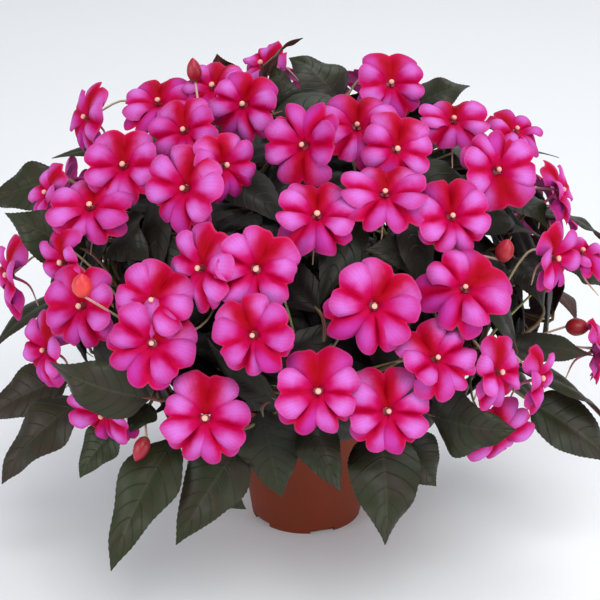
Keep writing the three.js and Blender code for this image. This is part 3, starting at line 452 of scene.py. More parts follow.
def nearest_stems(place, stems):
    return sorted(stems, key=lambda stem: np.linalg.norm(stem["curve"][-1] - place))[:PEDICEL_STEMS]


def bloom_axes(bloom):
    """The bloom's right, its dorsal direction and the way it faces, as columns."""
    facing = bloom["facing"]
    up = rotated(unit(UP - facing * facing[2]), facing, -math.radians(bloom["roll"]))
    return np.stack([np.cross(up, facing), up, facing], axis=1)


def seen_bloom(entry, index):
    px, py, span, turn, lift, roll = entry
    return {
        "centre": seen_on_mound(px, py),
        "push": sight_direction(px, py),
        "facing": facing_direction(turn, lift),
        "roll": roll,
        "span": span,
        "cup": Draws(index + 1).between(-4, 4),
    }


def on_mound(outward):
    size = np.array([MOUND_RADIUS, MOUND_RADIUS, MOUND_HALF_HEIGHT])
    return UP * MOUND_CENTRE_Z + outward * size


def spiral_direction(index, count, low, turn=0):
    """One of many directions from the mound's centre, on a spiral from the top down."""
    height = 1 - (1 - low) * ((index + 0.5) / count)
    return level(SPIRAL_TURN_DEG * index + turn) * math.sqrt(1 - height * height) + UP * height


def turned_away(outward):
    """How far a direction from the mound's centre is turned away from the viewer."""
    look = math.radians(LOOK_DOWN_DEG)
    return outward[1] * math.cos(look) - outward[2] * MOUND_RADIUS / MOUND_HALF_HEIGHT * math.sin(look)


def far_blooms(seen):
    """Pairs of blooms where the viewer sees none, clear of the seen ones and of each other."""
    sites = []
    blooms = []
    for index in range(SPIRAL_POINTS):
        draws = Draws(500 + index)
        outward = spiral_direction(index, SPIRAL_POINTS, SPIRAL_LOW)
        site = on_mound(outward)
        near_seen = any(np.linalg.norm(bloom["centre"] - site) < SEEN_SPACING for bloom in seen)
        near_spray = any(np.linalg.norm(other - site) < SPRAY_SPACING for other in sites)
        if turned_away(outward) < HIDDEN_SIDE or near_seen or near_spray or len(sites) == MOST_FAR_SPRAYS:
            continue
        sites.append(site)
        lean = math.radians(draws.between(-50, 50))
        across = unit(np.array([-outward[1], outward[0], 0]))
        sideways = rotated(across, outward, lean) * (SPRAY_HALF_WIDTH / MOUND_RADIUS)
        for side in (1, -1):
            own = unit(outward + sideways * side)
            facing = own.copy()
            facing[0] += draws.between(-0.25, 0.25)
            facing[1] += draws.between(-0.2, 0.25)
            facing[2] = facing[2] * 0.8 + draws.between(0.1, 0.45)
            blooms.append({
                "centre": on_mound(own),
                "push": -own,
                "facing": unit(facing),
                "roll": draws.between(-40, 40),
                "span": FAR_BLOOM_SPAN + draws.between(-4, 5),
                "cup": draws.between(-4, 4),
            })
    return blooms


def settle_bloom(bloom, landmarks):
    """Puts the bloom where the frame has it. Returns False if the frame doesn't have it."""
    axes = bloom_axes(bloom)
    steps = [0] + [sign * step for step in range(1, PUSH_STEPS + 1) for sign in (1, -1)]
    for step in steps:
        centre = bloom["centre"] + bloom["push"] * step * PUSH_STEP
        node = landmarks.owner(centre + axes @ np.array([0, 0, COLUMN_HEIGHT]))
        if node:
            bloom.update(centre=centre, node=node, axes=axes)
            return True
    return False


def best_candidate(candidates, landmarks, node):
    """The first candidate whose corners are all the node's, or else the one with most of them."""
    best, most = None, 0
    for corners, plan in candidates:
        if landmarks.owner(corners[-1][0]) != node:
            continue
        found = [landmarks.owner(corner) == node for ring in corners for corner in ring]
        if all(found):
            return plan
        if sum(found) > most:
            best, most = plan, sum(found)
    return best


def chord_and_side(root, end):
    chord = end - root
    return chord, unit(np.array([chord[1], -chord[0], 0]))


def pedicel_candidates(bloom, stem):
    """The bends that a pedicel may take, in the part's order, as corners and points."""
    axis = unit(bloom["axes"] @ PEDICEL_AXIS)
    seat = bloom["centre"] + bloom["axes"] @ PEDICEL_SEAT + axis * CLEARANCE
    stagger = (stem["pieces"] % 4) * PEDICEL_STAGGER
    for shares, run_out, joint in product(PEDICEL_POINTS, PEDICEL_RUN_OUTS, PEDICEL_JOINTS):
        root = bezier(stem["curve"], joint - stagger)
        chord, side = chord_and_side(root, seat)
        for rise, aside in product(PEDICEL_RISES, PEDICEL_SIDEWAYS):
            shift = side * aside + UP * rise
            curve = (root, root + chord * 0.35 + shift, seat + axis * run_out + shift * 0.6, seat)
            points = bezier(curve, shares)
            radii = [PEDICEL_RADIUS * ROOT_TAPER] + [PEDICEL_RADIUS] * (len(points) - 1)
            yield sweep_rings(points, radii, PEDICEL_SIDES)[1:], points


def bud_candidates(centre, axis, stem):
    """The bends that a bud's stalk may take, in the part's order, as corners and points."""
    foot = centre - axis * BUD_LENGTH / 2
    bud = [foot + axis * share * BUD_LENGTH for share, _ in BUD_SHAPE]
    radii = [PEDICEL_RADIUS * ROOT_TAPER, PEDICEL_RADIUS] + [size * BUD_RADIUS for _, size in BUD_SHAPE]
    for joint in PEDICEL_JOINTS:
        root = bezier(stem["curve"], joint)
        chord, side = chord_and_side(root, foot)
        for rise, aside in product(PEDICEL_RISES, PEDICEL_SIDEWAYS):
            middle = root + chord * 0.5 + (side * aside + UP * rise) * BUD_BEND
            yield sweep_rings([root, middle] + bud, radii, BUD_SIDES)[1:], (root, middle, foot)


def settle_pedicel(bloom, stems, marks):
    for stem in nearest_stems(bloom["centre"], stems):
        points = best_candidate(pedicel_candidates(bloom, stem), marks, stem["name"])
        if points is not None:
            stem["pieces"] += 1
            return {"points": points, "stem": stem}
    return None


def settle_bud(entry, stems, marks):
    (px, py, y), points_to = entry
    axis = unit(np.array(points_to, float))
    for depth in BUD_DEPTHS:
        centre = seen_at(px, py, y + depth)
        for stem in nearest_stems(centre, stems):
            course = best_candidate(bud_candidates(centre, axis, stem), marks, stem["name"])
            if course is not None:
                return {"course": course, "axis": axis, "stem": stem}
    return None


def leaf_ends(leaf):
    """The leaf's heading, its side, its midrib curve and the corner at the top of its tip."""
    chord = leaf["tip"] - leaf["base"]
    heading = unit(chord)
    normal = unit(leaf["normal"] - heading * (leaf["normal"] @ heading))
    side = np.cross(normal, heading)
    crest = leaf["base"] + chord * 0.5 + normal * leaf["arch"] * 2 * np.linalg.norm(chord)
    midrib = (leaf["base"], crest, leaf["tip"])
    tip_up = np.cross(bezier_heading(midrib, 1.0), side)
    return heading, side, midrib, leaf["tip"] + tip_up * LEAF_THICKNESS / 2


def petiole_misfit(leaf, surface):
    """How far the petiole's edges, as the part would make them, lie from a stem's surface."""
    heading, side, _, _ = leaf_ends(leaf)
    ahead = unit(leaf["base"] - leaf["root"])
    sections = [
        (leaf["root"], ahead, PETIOLE_HALF_WIDTH * ROOT_TAPER),
        (leaf["base"], heading, PETIOLE_HALF_WIDTH),
    ]
    worst = 0
    for across_sign, up_sign in product((1, -1), (1, -1)):
        ends = []
        for centre, way, width in sections:
            across = unit(side - way * (side @ way))
            up = np.cross(way, across)
            ends.append(centre + across * width * across_sign + up * PETIOLE_HALF_THICKNESS * up_sign)
        for share in (0.6, 0.85):
            worst += surface.find_nearest(Vector(ends[0] + (ends[1] - ends[0]) * share))[3]
    return worst


def settle_seen_leaf(index, stems, marks, surfaces):
    start, end, wide, arch, turn = SEEN_LEAVES[index]
    sway = Draws(900 + index).between(0.6, 1.2)
    for depth in LEAF_DEPTHS:
        base = seen_at(start[0], start[1], start[2] + depth)
        tip = seen_at(end[0], end[1], end[2] + depth)
        heading = unit(tip - base)
        outward = base + (tip - base) * 0.5 - UP * (MOUND_CENTRE_Z - 40)
        normal = unit(outward - heading * (outward @ heading))
        normal = rotated(normal, heading, math.radians(turn))
        leaf = {"base": base, "tip": tip, "normal": normal, "wide": wide, "arch": arch, "sway": sway}
        node = marks.owner(leaf_ends(leaf)[3])
        if node:
            stem = stems[STEM_NAMES.index(node)]
            roots = [bezier(stem["curve"], joint) for joint in LEAF_JOINTS]
            leaf["root"] = min(roots, key=lambda root: petiole_misfit({**leaf, "root": root}, surfaces[node]))
            return {**leaf, "large": True, "stem": stem}
    return None


def rule_leaf(root, turn_deg, rise_deg, size, traits):
    rise = math.radians(rise_deg)
    fall = math.radians(rise_deg - RULE_DROOP_DEG)
    flat = level(turn_deg)
    base = root + (flat * math.cos(rise) + UP * math.sin(rise)) * RULE_PETIOLE * size
    tip = base + (flat * math.cos(fall) + UP * math.sin(fall)) * traits["length"] * size
    return {"root": root, "base": base, "tip": tip, "normal": UP, "wide": RULE_LEAF_WIDTH * size, **traits}


def settle_rule_leaf(stems, stem_index, whorl_index, k, marks):
    stem = stems[stem_index]
    at, count, whorl_lift = WHORLS[whorl_index]
    draws = Draws(2000 + stem_index * 50 + whorl_index * 10 + k)
    turn_deg = stem_index * 47 + whorl_index * 60 + 360 / count * k
    traits = {"length": RULE_LEAF_LENGTH * draws.between(0.88, 1.15), "sway": draws.between(0.6, 1.2)}
    traits.update(arch=draws.between(0.06, 0.14), stem=stem, large=False)
    lift = whorl_lift + draws.between(-10, 10)
    root = bezier(stem["curve"], at - k * WHORL_STAGGER)
    for size, lifted, swing in product(LEAF_SIZES, LEAF_LIFTS, LEAF_SWINGS):
        leaf = rule_leaf(root, turn_deg + swing, lift + lifted, size, traits)
        if marks.owner(leaf_ends(leaf)[3]) == stem["name"]:
            return leaf
    return None


def those_found(items):
    return [item for item in items if item]


def settle_everything():
    """Finds every bloom, pedicel, bud and leaf of the frame, in the order in which they grew."""
    stems = stem_plans()
    bloom_marks = Landmarks(BLOOM_NAMES)
    marks = Landmarks(STEM_NAMES)
    surfaces = {name: faces_of([name]) for name in STEM_NAMES}
    seen = [seen_bloom(entry, index) for index, entry in enumerate(SEEN_BLOOMS)]
    blooms = [bloom for bloom in seen + far_blooms(seen) if settle_bloom(bloom, bloom_marks)]
    blooms.sort(key=lambda bloom: bloom["node"])
    pedicels = those_found(settle_pedicel(bloom, stems, marks) for bloom in blooms)
    buds = those_found(settle_bud(entry, stems, marks) for entry in SEEN_BUDS)
    leaves = those_found(settle_seen_leaf(index, stems, marks, surfaces) for index in range(len(SEEN_LEAVES)))
    leaves += those_found(
        settle_rule_leaf(stems, stem_index, whorl_index, k, marks)
        for stem_index in range(len(stems))
        for whorl_index, whorl in enumerate(WHORLS)
        for k in range(whorl[1])
    )
    return stems, blooms, pedicels, buds, leaves


# Fine petals: how far they're widened over the plan so that they overlap, and their mesh
PETAL_SPREAD = 1.1
PETAL_HALF_THICKNESS = 0.22
PETAL_ROWS = 11
PETAL_HALF_COLUMNS = 11
THROAT_RING = 2.6
THROAT_HALF_WIDTH = 2.2
THROAT_DIP = 2.6
UNDERSIDE_PAINT = 1.0
THROAT_TUBE = np.array([(0, 0, -1.9), (0, -0.3, -2.7), (0, -0.9, -3.6)])
THROAT_TUBE_RADII = [3.2, 3.0, 2.4]
CAP_POINTS = np.array(
    [(0, -0.2, -2.4), (0, -0.1, 0.3), (0, 0, 1.5), (0, -0.2, 2.5), (0, -0.3, 3.3), (0, -0.3, 3.9)]
)
CAP_LEAN = np.outer([0, 0, 0, 1, 1, 1], [1, 0, 0])
CAP_RADII = np.array([1.0, 1.2, 1.8, 2.15, 1.7, 0.6])

# Fine leaves, whose outlines are shares of the length with shares of the half width
LEAF_ROWS = 44
LEAF_HALF_COLUMNS = 4
LEAF_HALF_THICKNESS = 0.24
INNER_ROWS = 26
INNER_HALF_COLUMNS = 3
LARGE_OUTLINE = [
    (0, 0.07), (0.05, 0.3), (0.12, 0.68), (0.34, 1), (0.6, 0.72), (0.82, 0.33), (0.93, 0.11), (1, 0.01)
]
SMALL_OUTLINE = [
    (0, 0.07), (0.08, 0.42), (0.28, 0.97), (0.44, 0.98), (0.64, 0.7), (0.84, 0.3), (0.94, 0.1), (1, 0.01)
]
LARGE_WAVE = [(0, 0), (0.12, 1), (0.34, -1), (0.6, 1), (0.82, -1), (1, 0)]
SMALL_WAVE = [(0, 0), (0.28, 1), (0.64, -1), (1, 0)]
VEIN_BOW = 0.2
TOOTH = 0.5
VEIN_PAIRS = 8
QUILTING = 0.75
# Painted shade on leaves deep inside the mound: it starts at the first share of the mound's radius and is
# full at the second
PAINTED_SHADE_START = 1.02
PAINTED_SHADE_END = 0.76

# Fine stems, stalks and buds
STEM_SUNK = 24
STEM_SWELLINGS = (0.12, 0.34, 0.54, 0.72, 0.88, 0.97)
STALK_RADIUS = 0.85
STALK_END_RADIUS = 1.3
BUD_SIZES = [1.0, 0.94, 0.98, 0.8, 0.8]
BUD_RIPENESS = [1.0, 0.25, 0.35, 0.0, 0.1]
BUD_OUTLINE = [(0, 0.26), (0.1, 0.74), (0.4, 1.1), (0.7, 0.9), (0.9, 0.46), (1, 0.1)]

# Studio floor, and where it bends up into a wall
FLOOR_HALF_WIDTH = 7000
FLOOR_START = -6000
FLOOR_END = 1600
WALL_BEND = 1200
BEND_START_DEG = -84.27
WALL_HEIGHT = 7000

# Inner leaves under the blooms, on a spiral over a smaller mound, and how each is tried
INNER_SPIRALS = [
    {"points": 210, "low": -0.5, "shares": [0.84, 0.79, 0.74, 0.68, 0.61], "seed": 4000, "turn": 0},
    {"points": 150, "low": -0.6, "shares": [0.62, 0.55, 0.48, 0.7], "seed": 5000, "turn": 61},
]
INNER_SWINGS = [0, 30, -30, 60, -60, 100, -100]
INNER_LENGTHS = (58, 88)
INNER_BREADTH = 0.42
INNER_JOINTS = [0.95, 0.85, 0.75, 0.62, 0.5, 0.36]
INNER_NEAR = 170
STRIP_WIDTHS = [0.15, 0.85, 1.0, 0.8, 0.45, 0.05]
INNER_LEAF_SEED = 500


def leaf_strip(leaf):
    """A coarse leaf with its petiole, as a tree of faces, to test what it would cross."""
    _, side, midrib, _ = leaf_ends(leaf)
    rows = len(STRIP_WIDTHS)
    centre = bezier(midrib, np.linspace(0, 1, rows))
    spread = side * (np.array(STRIP_WIDTHS) * leaf["wide"] / 2)[:, None]
    start = leaf["root"] + (leaf["base"] - leaf["root"]) * 0.3
    corners = np.stack([centre + spread, centre - spread], axis=1).reshape(-1, 3)
    corners = np.vstack([corners, start + side, start - side])
    faces = [(2 * k, 2 * k + 1, 2 * k + 3, 2 * k + 2) for k in range(rows - 1)]
    faces.append((2 * rows, 2 * rows + 1, 1, 0))
    return BVHTree.FromPolygons([Vector(corner) for corner in corners], faces)


def mound_share(place):
    """How far out a place lies, as a share of the way from the mound's centre to its surface."""
    flat = np.hypot(place[..., 0], place[..., 1]) / MOUND_RADIUS
    return np.hypot(flat, (place[..., 2] - MOUND_CENTRE_Z) / MOUND_HALF_HEIGHT)


def inner_leaf_plan(outward, share, swing, traits, joints):
    centre = UP * MOUND_CENTRE_Z
    site = (on_mound(outward) - centre) * share + centre
    normal = unit(outward * np.array([1, 1, MOUND_RADIUS / MOUND_HALF_HEIGHT]))
    places = np.array([place for _, place in joints])
    stem, root = joints[np.argmin(np.abs(np.linalg.norm(places - site, axis=1) - traits["reach"]))]
    away = site - root
    away = unit(away - normal * (away @ normal))
    away = rotated(away, normal, math.radians(swing))
    half = away * traits["length"] / 2
    return {
        **traits,
        "site": site,
        "root": root,
        "stem": stem,
        "base": site - half,
        "tip": site + half - normal * traits["length"] * 0.12,
        "normal": rotated(normal, away, traits["lean"]),
        "wide": traits["length"] * INNER_BREADTH,
        "large": False,
    }


def grow_inner_leaves(stems):
    """Leaves on inner mounds, each at the first depth and turn where it crosses nothing."""
    solids = faces_of(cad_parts)
    joints = [(stem, bezier(stem["curve"], joint)) for stem in stems for joint in INNER_JOINTS]
    grown = []
    for spiral, index in [(spiral, index) for spiral in INNER_SPIRALS for index in range(spiral["points"])]:
        draws = Draws(spiral["seed"] + index)
        outward = spiral_direction(index, spiral["points"], spiral["low"], spiral["turn"])
        traits = {
            "length": draws.between(*INNER_LENGTHS),
            "lean": draws.between(-0.4, 0.4),
            "arch": draws.between(0.05, 0.14),
            "sway": draws.between(0.6, 1.3),
            "reach": draws.between(40, 70),
        }
        for share, swing in product(spiral["shares"], INNER_SWINGS):
            leaf = inner_leaf_plan(outward, share, swing, traits, joints)
            tree = leaf_strip(leaf)
            if tree.overlap(solids):
                continue
            near = [other for other in grown if np.linalg.norm(other["site"] - leaf["site"]) < INNER_NEAR]
            if not any(tree.overlap(other["tree"]) for other in near):
                grown.append({**leaf, "tree": tree})
                break
    return grown


class Surface:
    """Collects the corners, faces and paint plan of one piece."""

    def __init__(self):
        self.corners = []
        self.plans = []
        self.faces = []
        self.looks = []
        self.count = 0

    def add(self, corners, faces, plan=(0, 0, 0, 0), look=0):
        corners = np.asarray(corners, float).reshape(-1, 3)
        self.corners.append(corners)
        self.plans.append(np.broadcast_to(np.asarray(plan, float), (len(corners), 4)))
        self.faces += [[corner + self.count for corner in face] for face in faces]
        self.looks += [look] * len(faces)
        self.count += len(corners)

    def piece(self, name, looks):
        """The piece as an object in metres, smooth except over sharp edges."""
        mesh = bpy.data.meshes.new(name)
        mesh.from_pydata(np.vstack(self.corners) * MM, [], self.faces)
        plan = mesh.attributes.new("plan", "FLOAT_COLOR", "POINT")
        plan.data.foreach_set("color", np.vstack(self.plans).astype(np.float32).ravel())
        for look in looks:
            mesh.materials.append(look)
        mesh.polygons.foreach_set("material_index", self.looks)
        mesh.polygons.foreach_set("use_smooth", [True] * len(mesh.polygons))
        mesh.set_sharp_from_angle(angle=math.radians(66))
        mesh.update()
        item = bpy.data.objects.new(name, mesh)
        bpy.context.collection.objects.link(item)
        return item


def sheet_faces(rows, columns):
    """A closed thin sheet: a grid on top, one below it and a strip round the edge."""
    below = rows * columns
    grid = np.arange(below).reshape(rows, columns)
    quads = np.stack([grid[:-1, :-1], grid[:-1, 1:], grid[1:, 1:], grid[1:, :-1]], axis=-1).reshape(-1, 4)
    ring = np.concatenate([grid[0], grid[1:, -1], grid[-1, -2::-1], grid[-2:0:-1, 0]])
    following = np.roll(ring, -1)
    strip = np.stack([following, ring, ring + below, following + below], axis=-1)
    return np.vstack([quads, quads[:, ::-1] + below, strip]).tolist()


def ring_faces(rows, sides):
    """The quads between rings of corners that run ring by ring."""
    grid = np.arange(rows * sides).reshape(rows, sides)
    following = np.roll(grid, -1, axis=1)
    return np.stack([grid[:-1], following[:-1], following[1:], grid[1:]], axis=-1).reshape(-1, 4).tolist()


def tube(surface, points, radii, sides, plan_along, plan_rest, look):
    """A closed tube through points, with a radius at each."""
    count = len(points)
    faces = ring_faces(count, sides)
    faces.append(tuple(range(sides))[::-1])
    faces.append(tuple((count - 1) * sides + k for k in range(sides)))
    plan = np.zeros((count, sides, 4))
    plan[:, :, 0] = np.asarray(plan_along)[:, None]
    plan[:, :, 1] = np.linspace(0, 1, sides)
    plan[:, :, 2:] = plan_rest
    surface.add(sweep_rings(points, radii, sides), faces, plan.reshape(-1, 4), look)


def thin_sheet(surface, upper, lower, plan, kind_below):
    """A closed thin sheet between two grids of corners, with another kind of paint below."""
    under = plan.copy()
    under[..., 2] = kind_below
    corners = np.concatenate([upper.reshape(-1, 3), lower.reshape(-1, 3)])
    both = np.concatenate([plan.reshape(-1, 4), under.reshape(-1, 4)])
    surface.add(corners, sheet_faces(*upper.shape[:2]), both)


def sheet_plan(along, across, kind, own):
    plan = np.zeros(np.broadcast(along, across).shape + (4,))
    for channel, values in enumerate((along, across * 0.5 + 0.5, kind, own)):
        plan[..., channel] = values
    return plan


def petal_rim(petal, sign, traits):
    """Half of a petal's rim, from its shoulder to its notch, as reach and distance to the side."""
    reach = petal["reach"] * traits["reach"]
    fullness = traits["fullness"] + sign * traits["lopsided"]
    wide = (petal["left"] if sign > 0 else petal["right"]) * PETAL_SPREAD * fullness
    lobe = petal["lobe"] * fullness
    keys = [
        (reach * 0.56, wide),
        (reach * 0.77, wide),
        (reach * 0.94, wide * 0.5 + lobe * 0.5),
        (reach * (1.01 + 0.6 * sign * traits["lopsided"]), lobe * 0.82),
        (reach * 0.985, lobe * 0.36),
        (reach * (petal["notch"] + traits["notch"]), 0),
    ]
    return even_line(smooth_line(keys, 8), PETAL_HALF_COLUMNS + 1) * np.array([1, sign])


def petal_traits(draws):
    """What makes one petal differ from the next."""
    return {
        "reach": draws.between(0.92, 1.04),
        "fullness": draws.between(0.94, 1.06),
        "lopsided": draws.between(-0.1, 0.1),
        "notch": draws.between(-0.08, 0.03),
        "tilt": draws.between(-8, 7),
        "puff": draws.between(1.2, 3.8),
        "curl": draws.between(0.2, 5.6),
        "fold": draws.between(0.6, 2.2),
        "ripple": draws.between(0.4, 1.9),
        "swing": draws.between(0, 6.28),
        "turn": draws.between(-6, 6),
        "twist": draws.between(-3.4, 3.4),
        "own": draws.next(),
    }


def petal_height(petal, bloom, traits, out, across, along):
    """How far a petal stands out of the bloom's plane at its grid points."""
    half = np.abs(across)
    slope = math.tan(math.radians(petal["pitch"] + bloom["cup"] + traits["tilt"]))
    height = (out - THROAT_RADIUS) * slope
    height += traits["puff"] * np.sin(math.pi * half ** 0.9) * np.sin(math.pi * along ** 1.2 * 0.92)
    height -= traits["fold"] * np.exp(-((half / 0.16) ** 2)) * smooth_step(0.05, 0.5, along)
    height -= traits["curl"] * along ** 4 * (1 - 0.6 * np.exp(-((half / 0.2) ** 2)))
    height += traits["ripple"] * np.sin(across * 7 + traits["swing"]) * along ** 2
    height += traits["twist"] * across * along
    height -= THROAT_DIP * (1 - smooth_step(THROAT_RING, 9, out))
    if petal["kind"] == "side":
        upper = across if petal["at"] < 90 else -across
        height += (2.4 * smooth_step(0.2, 1, upper) + 1.6 * smooth_step(0.1, 0.9, -upper)) * along
    if petal["kind"] == "low":
        inner = across if petal["at"] < 270 else -across
        height += (1.1 if petal["at"] < 270 else -0.6) * smooth_step(0.3, 1, inner) * along
    return height


def petal_sheet(petal, bloom, traits):
    """One petal's upper and lower grids in the bloom's own frame, with the plan of its paint."""
    right, left = petal_rim(petal, -1, traits), petal_rim(petal, 1, traits)
    rim = np.vstack([right, left[-2::-1]])
    across = np.linspace(-1, 1, len(rim))
    along = np.linspace(0, 1, PETAL_ROWS + 1)[:, None] ** 0.9
    grow = bloom["span"] / BLOOM_SPAN
    out = (THROAT_RING + (rim[:, 0] - THROAT_RING) * along) * grow
    root = across * THROAT_HALF_WIDTH
    side = (root + (rim[:, 1] - root) * along ** 0.74) * grow
    height = petal_height(petal, bloom, traits, out, across, along)
    angle = math.radians(petal["at"] + traits["turn"])
    x = out * math.cos(angle) - side * math.sin(angle)
    y = out * math.sin(angle) + side * math.cos(angle)
    upper = np.stack([x, y, height + PETAL_HALF_THICKNESS], axis=-1)
    lower = np.stack([x, y, height - PETAL_HALF_THICKNESS], axis=-1)
    return upper, lower, sheet_plan(along, across, petal["paint"], traits["own"])


def fine_bloom(surface, bloom, index):
    draws = Draws(7000 + index * 13)

    def placed(points):
        return bloom["centre"] + np.asarray(points, float) @ bloom["axes"].T

    for entry in PETALS:
        petal = {**PETAL_KINDS[entry["kind"]], **entry}
        upper, lower, plan = petal_sheet(petal, bloom, petal_traits(draws))
        thin_sheet(surface, placed(upper), placed(lower), plan, UNDERSIDE_PAINT)
    spur = smooth_line([SPUR_ROOT * 0.8, SPUR_ROOT, SPUR_BEND, SPUR_TIP], 5)
    points = np.vstack([THROAT_TUBE, spur])
    radii = np.concatenate([THROAT_TUBE_RADII, np.linspace(1.8, 0.4, len(spur))])
    shares = np.linspace(0, 1, len(points))
    tube(surface, placed(points), radii, 9, shares, (0.0, draws.next()), 1)
    size = draws.between(0.8, 1.0)
    cap = CAP_POINTS + CAP_LEAN * draws.between(-0.5, 0.5)
    tube(surface, placed(cap), CAP_RADII * size, 10, np.linspace(0, 1, 6), (0.0, draws.next()), 2)


def leaf_height(leaf, shares, steps, width, ripple):
    """How far a blade stands out of its plane: waved edges, puffed fields and a groove over the midrib."""
    half = np.abs(steps)
    wave = rounded_profile(LARGE_WAVE if leaf["large"] else SMALL_WAVE, shares[:, 0])[:, None]
    phase = (shares - VEIN_BOW * half ** 1.4) * VEIN_PAIRS
    puff = QUILTING * np.abs(np.sin(math.pi * phase)) ** 0.6 * np.sin(math.pi * half ** 0.8)
    height = wave * leaf["wide"] * EDGE_WAVE * leaf["sway"] * steps
    height += puff * (width / 20)
    height += 0.09 * width * (1 - np.exp(-(half / 0.22) ** 2)) - 0.05 * width
    height -= 0.07 * width * half ** 3
    height += 0.03 * width * np.sin(shares * 17 + ripple + np.sign(steps)) * half ** 2
    return height


def fine_blade(surface, leaf, draws, rows, half_columns):
    _, side, midrib, _ = leaf_ends(leaf)
    shares = np.linspace(0, 1, rows + 1)
    ahead = bezier_heading(midrib, shares)
    across = side - ahead * (ahead @ side)[:, None]
    across /= np.linalg.norm(across, axis=1, keepdims=True)
    up = np.cross(ahead, across)[:, None, :]
    width = rounded_profile(LARGE_OUTLINE if leaf["large"] else SMALL_OUTLINE, shares) * leaf["wide"] / 2
    width = np.maximum(width, PETIOLE_HALF_WIDTH * (1 - 0.8 * shares))[:, None]
    steps = np.linspace(-1, 1, half_columns * 2 + 1)
    steps = np.sign(steps) * np.abs(steps) ** 1.15
    teeth = np.where(np.arange(rows + 1) % 2 == 0, TOOTH, 0) * smooth_step(0.04, 0.2, shares)
    teeth *= 1 - smooth_step(0.93, 1, shares)
    reach = width * steps
    reach[:, 0] -= teeth
    reach[:, -1] += teeth
    height = leaf_height(leaf, shares[:, None], steps, width, draws.between(0, 6.28))
    centre = bezier(midrib, shares)[:, None, :]
    place = centre + across[:, None, :] * reach[..., None] + up * height[..., None]
    thick = LEAF_HALF_THICKNESS * (1 + 2.2 * np.exp(-(steps / 0.12) ** 2) * (1 - shares[:, None]))
    # Painted shade: corners deep inside the mound are painted darker, carried in the kind channel of the plan
    painted_shade = 0.5 * smooth_step(PAINTED_SHADE_START, PAINTED_SHADE_END, mound_share(place))
    plan = sheet_plan(shares[:, None], steps, painted_shade, draws.next())
    upper = place + up * LEAF_HALF_THICKNESS
    lower = place - up * thick[..., None]
    thin_sheet(surface, upper, lower, plan, painted_shade + UNDERSIDE_PAINT)


def fine_leaf(surface, leaf, seed, rows=LEAF_ROWS, half_columns=LEAF_HALF_COLUMNS):
    draws = Draws(9000 + seed * 7)
    fine_blade(surface, leaf, draws, rows, half_columns)
    heading, _, midrib, _ = leaf_ends(leaf)
    bend = leaf["base"] - heading * np.linalg.norm(leaf["base"] - leaf["root"]) * 0.25
    stalk = bezier((leaf["root"], bend, leaf["base"]), np.linspace(0, 1, 8))
    points = np.vstack([stalk, bezier(midrib, [0.03, 0.07])])
    radii = np.concatenate([np.linspace(1.7, 1.25, 8), [1.0, 0.5]])
    tube(surface, points, radii, 8, np.linspace(0, 0.4, len(points)), (0.5, draws.next()), 1)


def fine_stem(surface, stem):
    bottom = stem["curve"][0] * np.array([1, 1, 0]) + UP * (SOIL_TOP - STEM_SUNK + 0.3)
    shares = np.linspace(0, 1, 30)
    points = np.vstack([bottom, bezier(stem["curve"], shares)])
    along = np.concatenate([[0], shares])
    radii = STEM_RADIUS + (STEM_TIP_RADIUS - STEM_RADIUS) * along
    for at in STEM_SWELLINGS:
        radii[1:] += 0.9 * np.exp(-(((shares - at) / 0.018) ** 2))
    radii *= 0.95
    radii[-1] = 1.2
    tube(surface, points, radii, 14, along, (0.0, 0.5), 1)


def fine_stalk(surface, points, end_radius):
    radii = np.full(len(points), STALK_RADIUS)
    radii[[0, -1]] = end_radius
    tube(surface, points, radii, 7, np.linspace(0, 1, len(points)), (1.0, 0.5), 2)


def fine_bud(surface, bud, index):
    fine_stalk(surface, smooth_line(bud["course"], 7), STALK_RADIUS)
    shares = np.linspace(0, 1, 15)
    radii = rounded_profile(BUD_OUTLINE, shares) * BUD_RADIUS * BUD_SIZES[index]
    points = bud["course"][-1] + bud["axis"] * (shares * BUD_LENGTH)[:, None]
    tube(surface, points, radii, 16, shares, (0.0, BUD_RIPENESS[index]), 3)


def colour(red, green, blue):
    """A colour from its values on a screen, 0 to 255."""
    def linear(value):
        value /= 255
        return value / 12.92 if value <= 0.04045 else ((value + 0.055) / 1.055) ** 2.4
    return (linear(red), linear(green), linear(blue), 1.0)


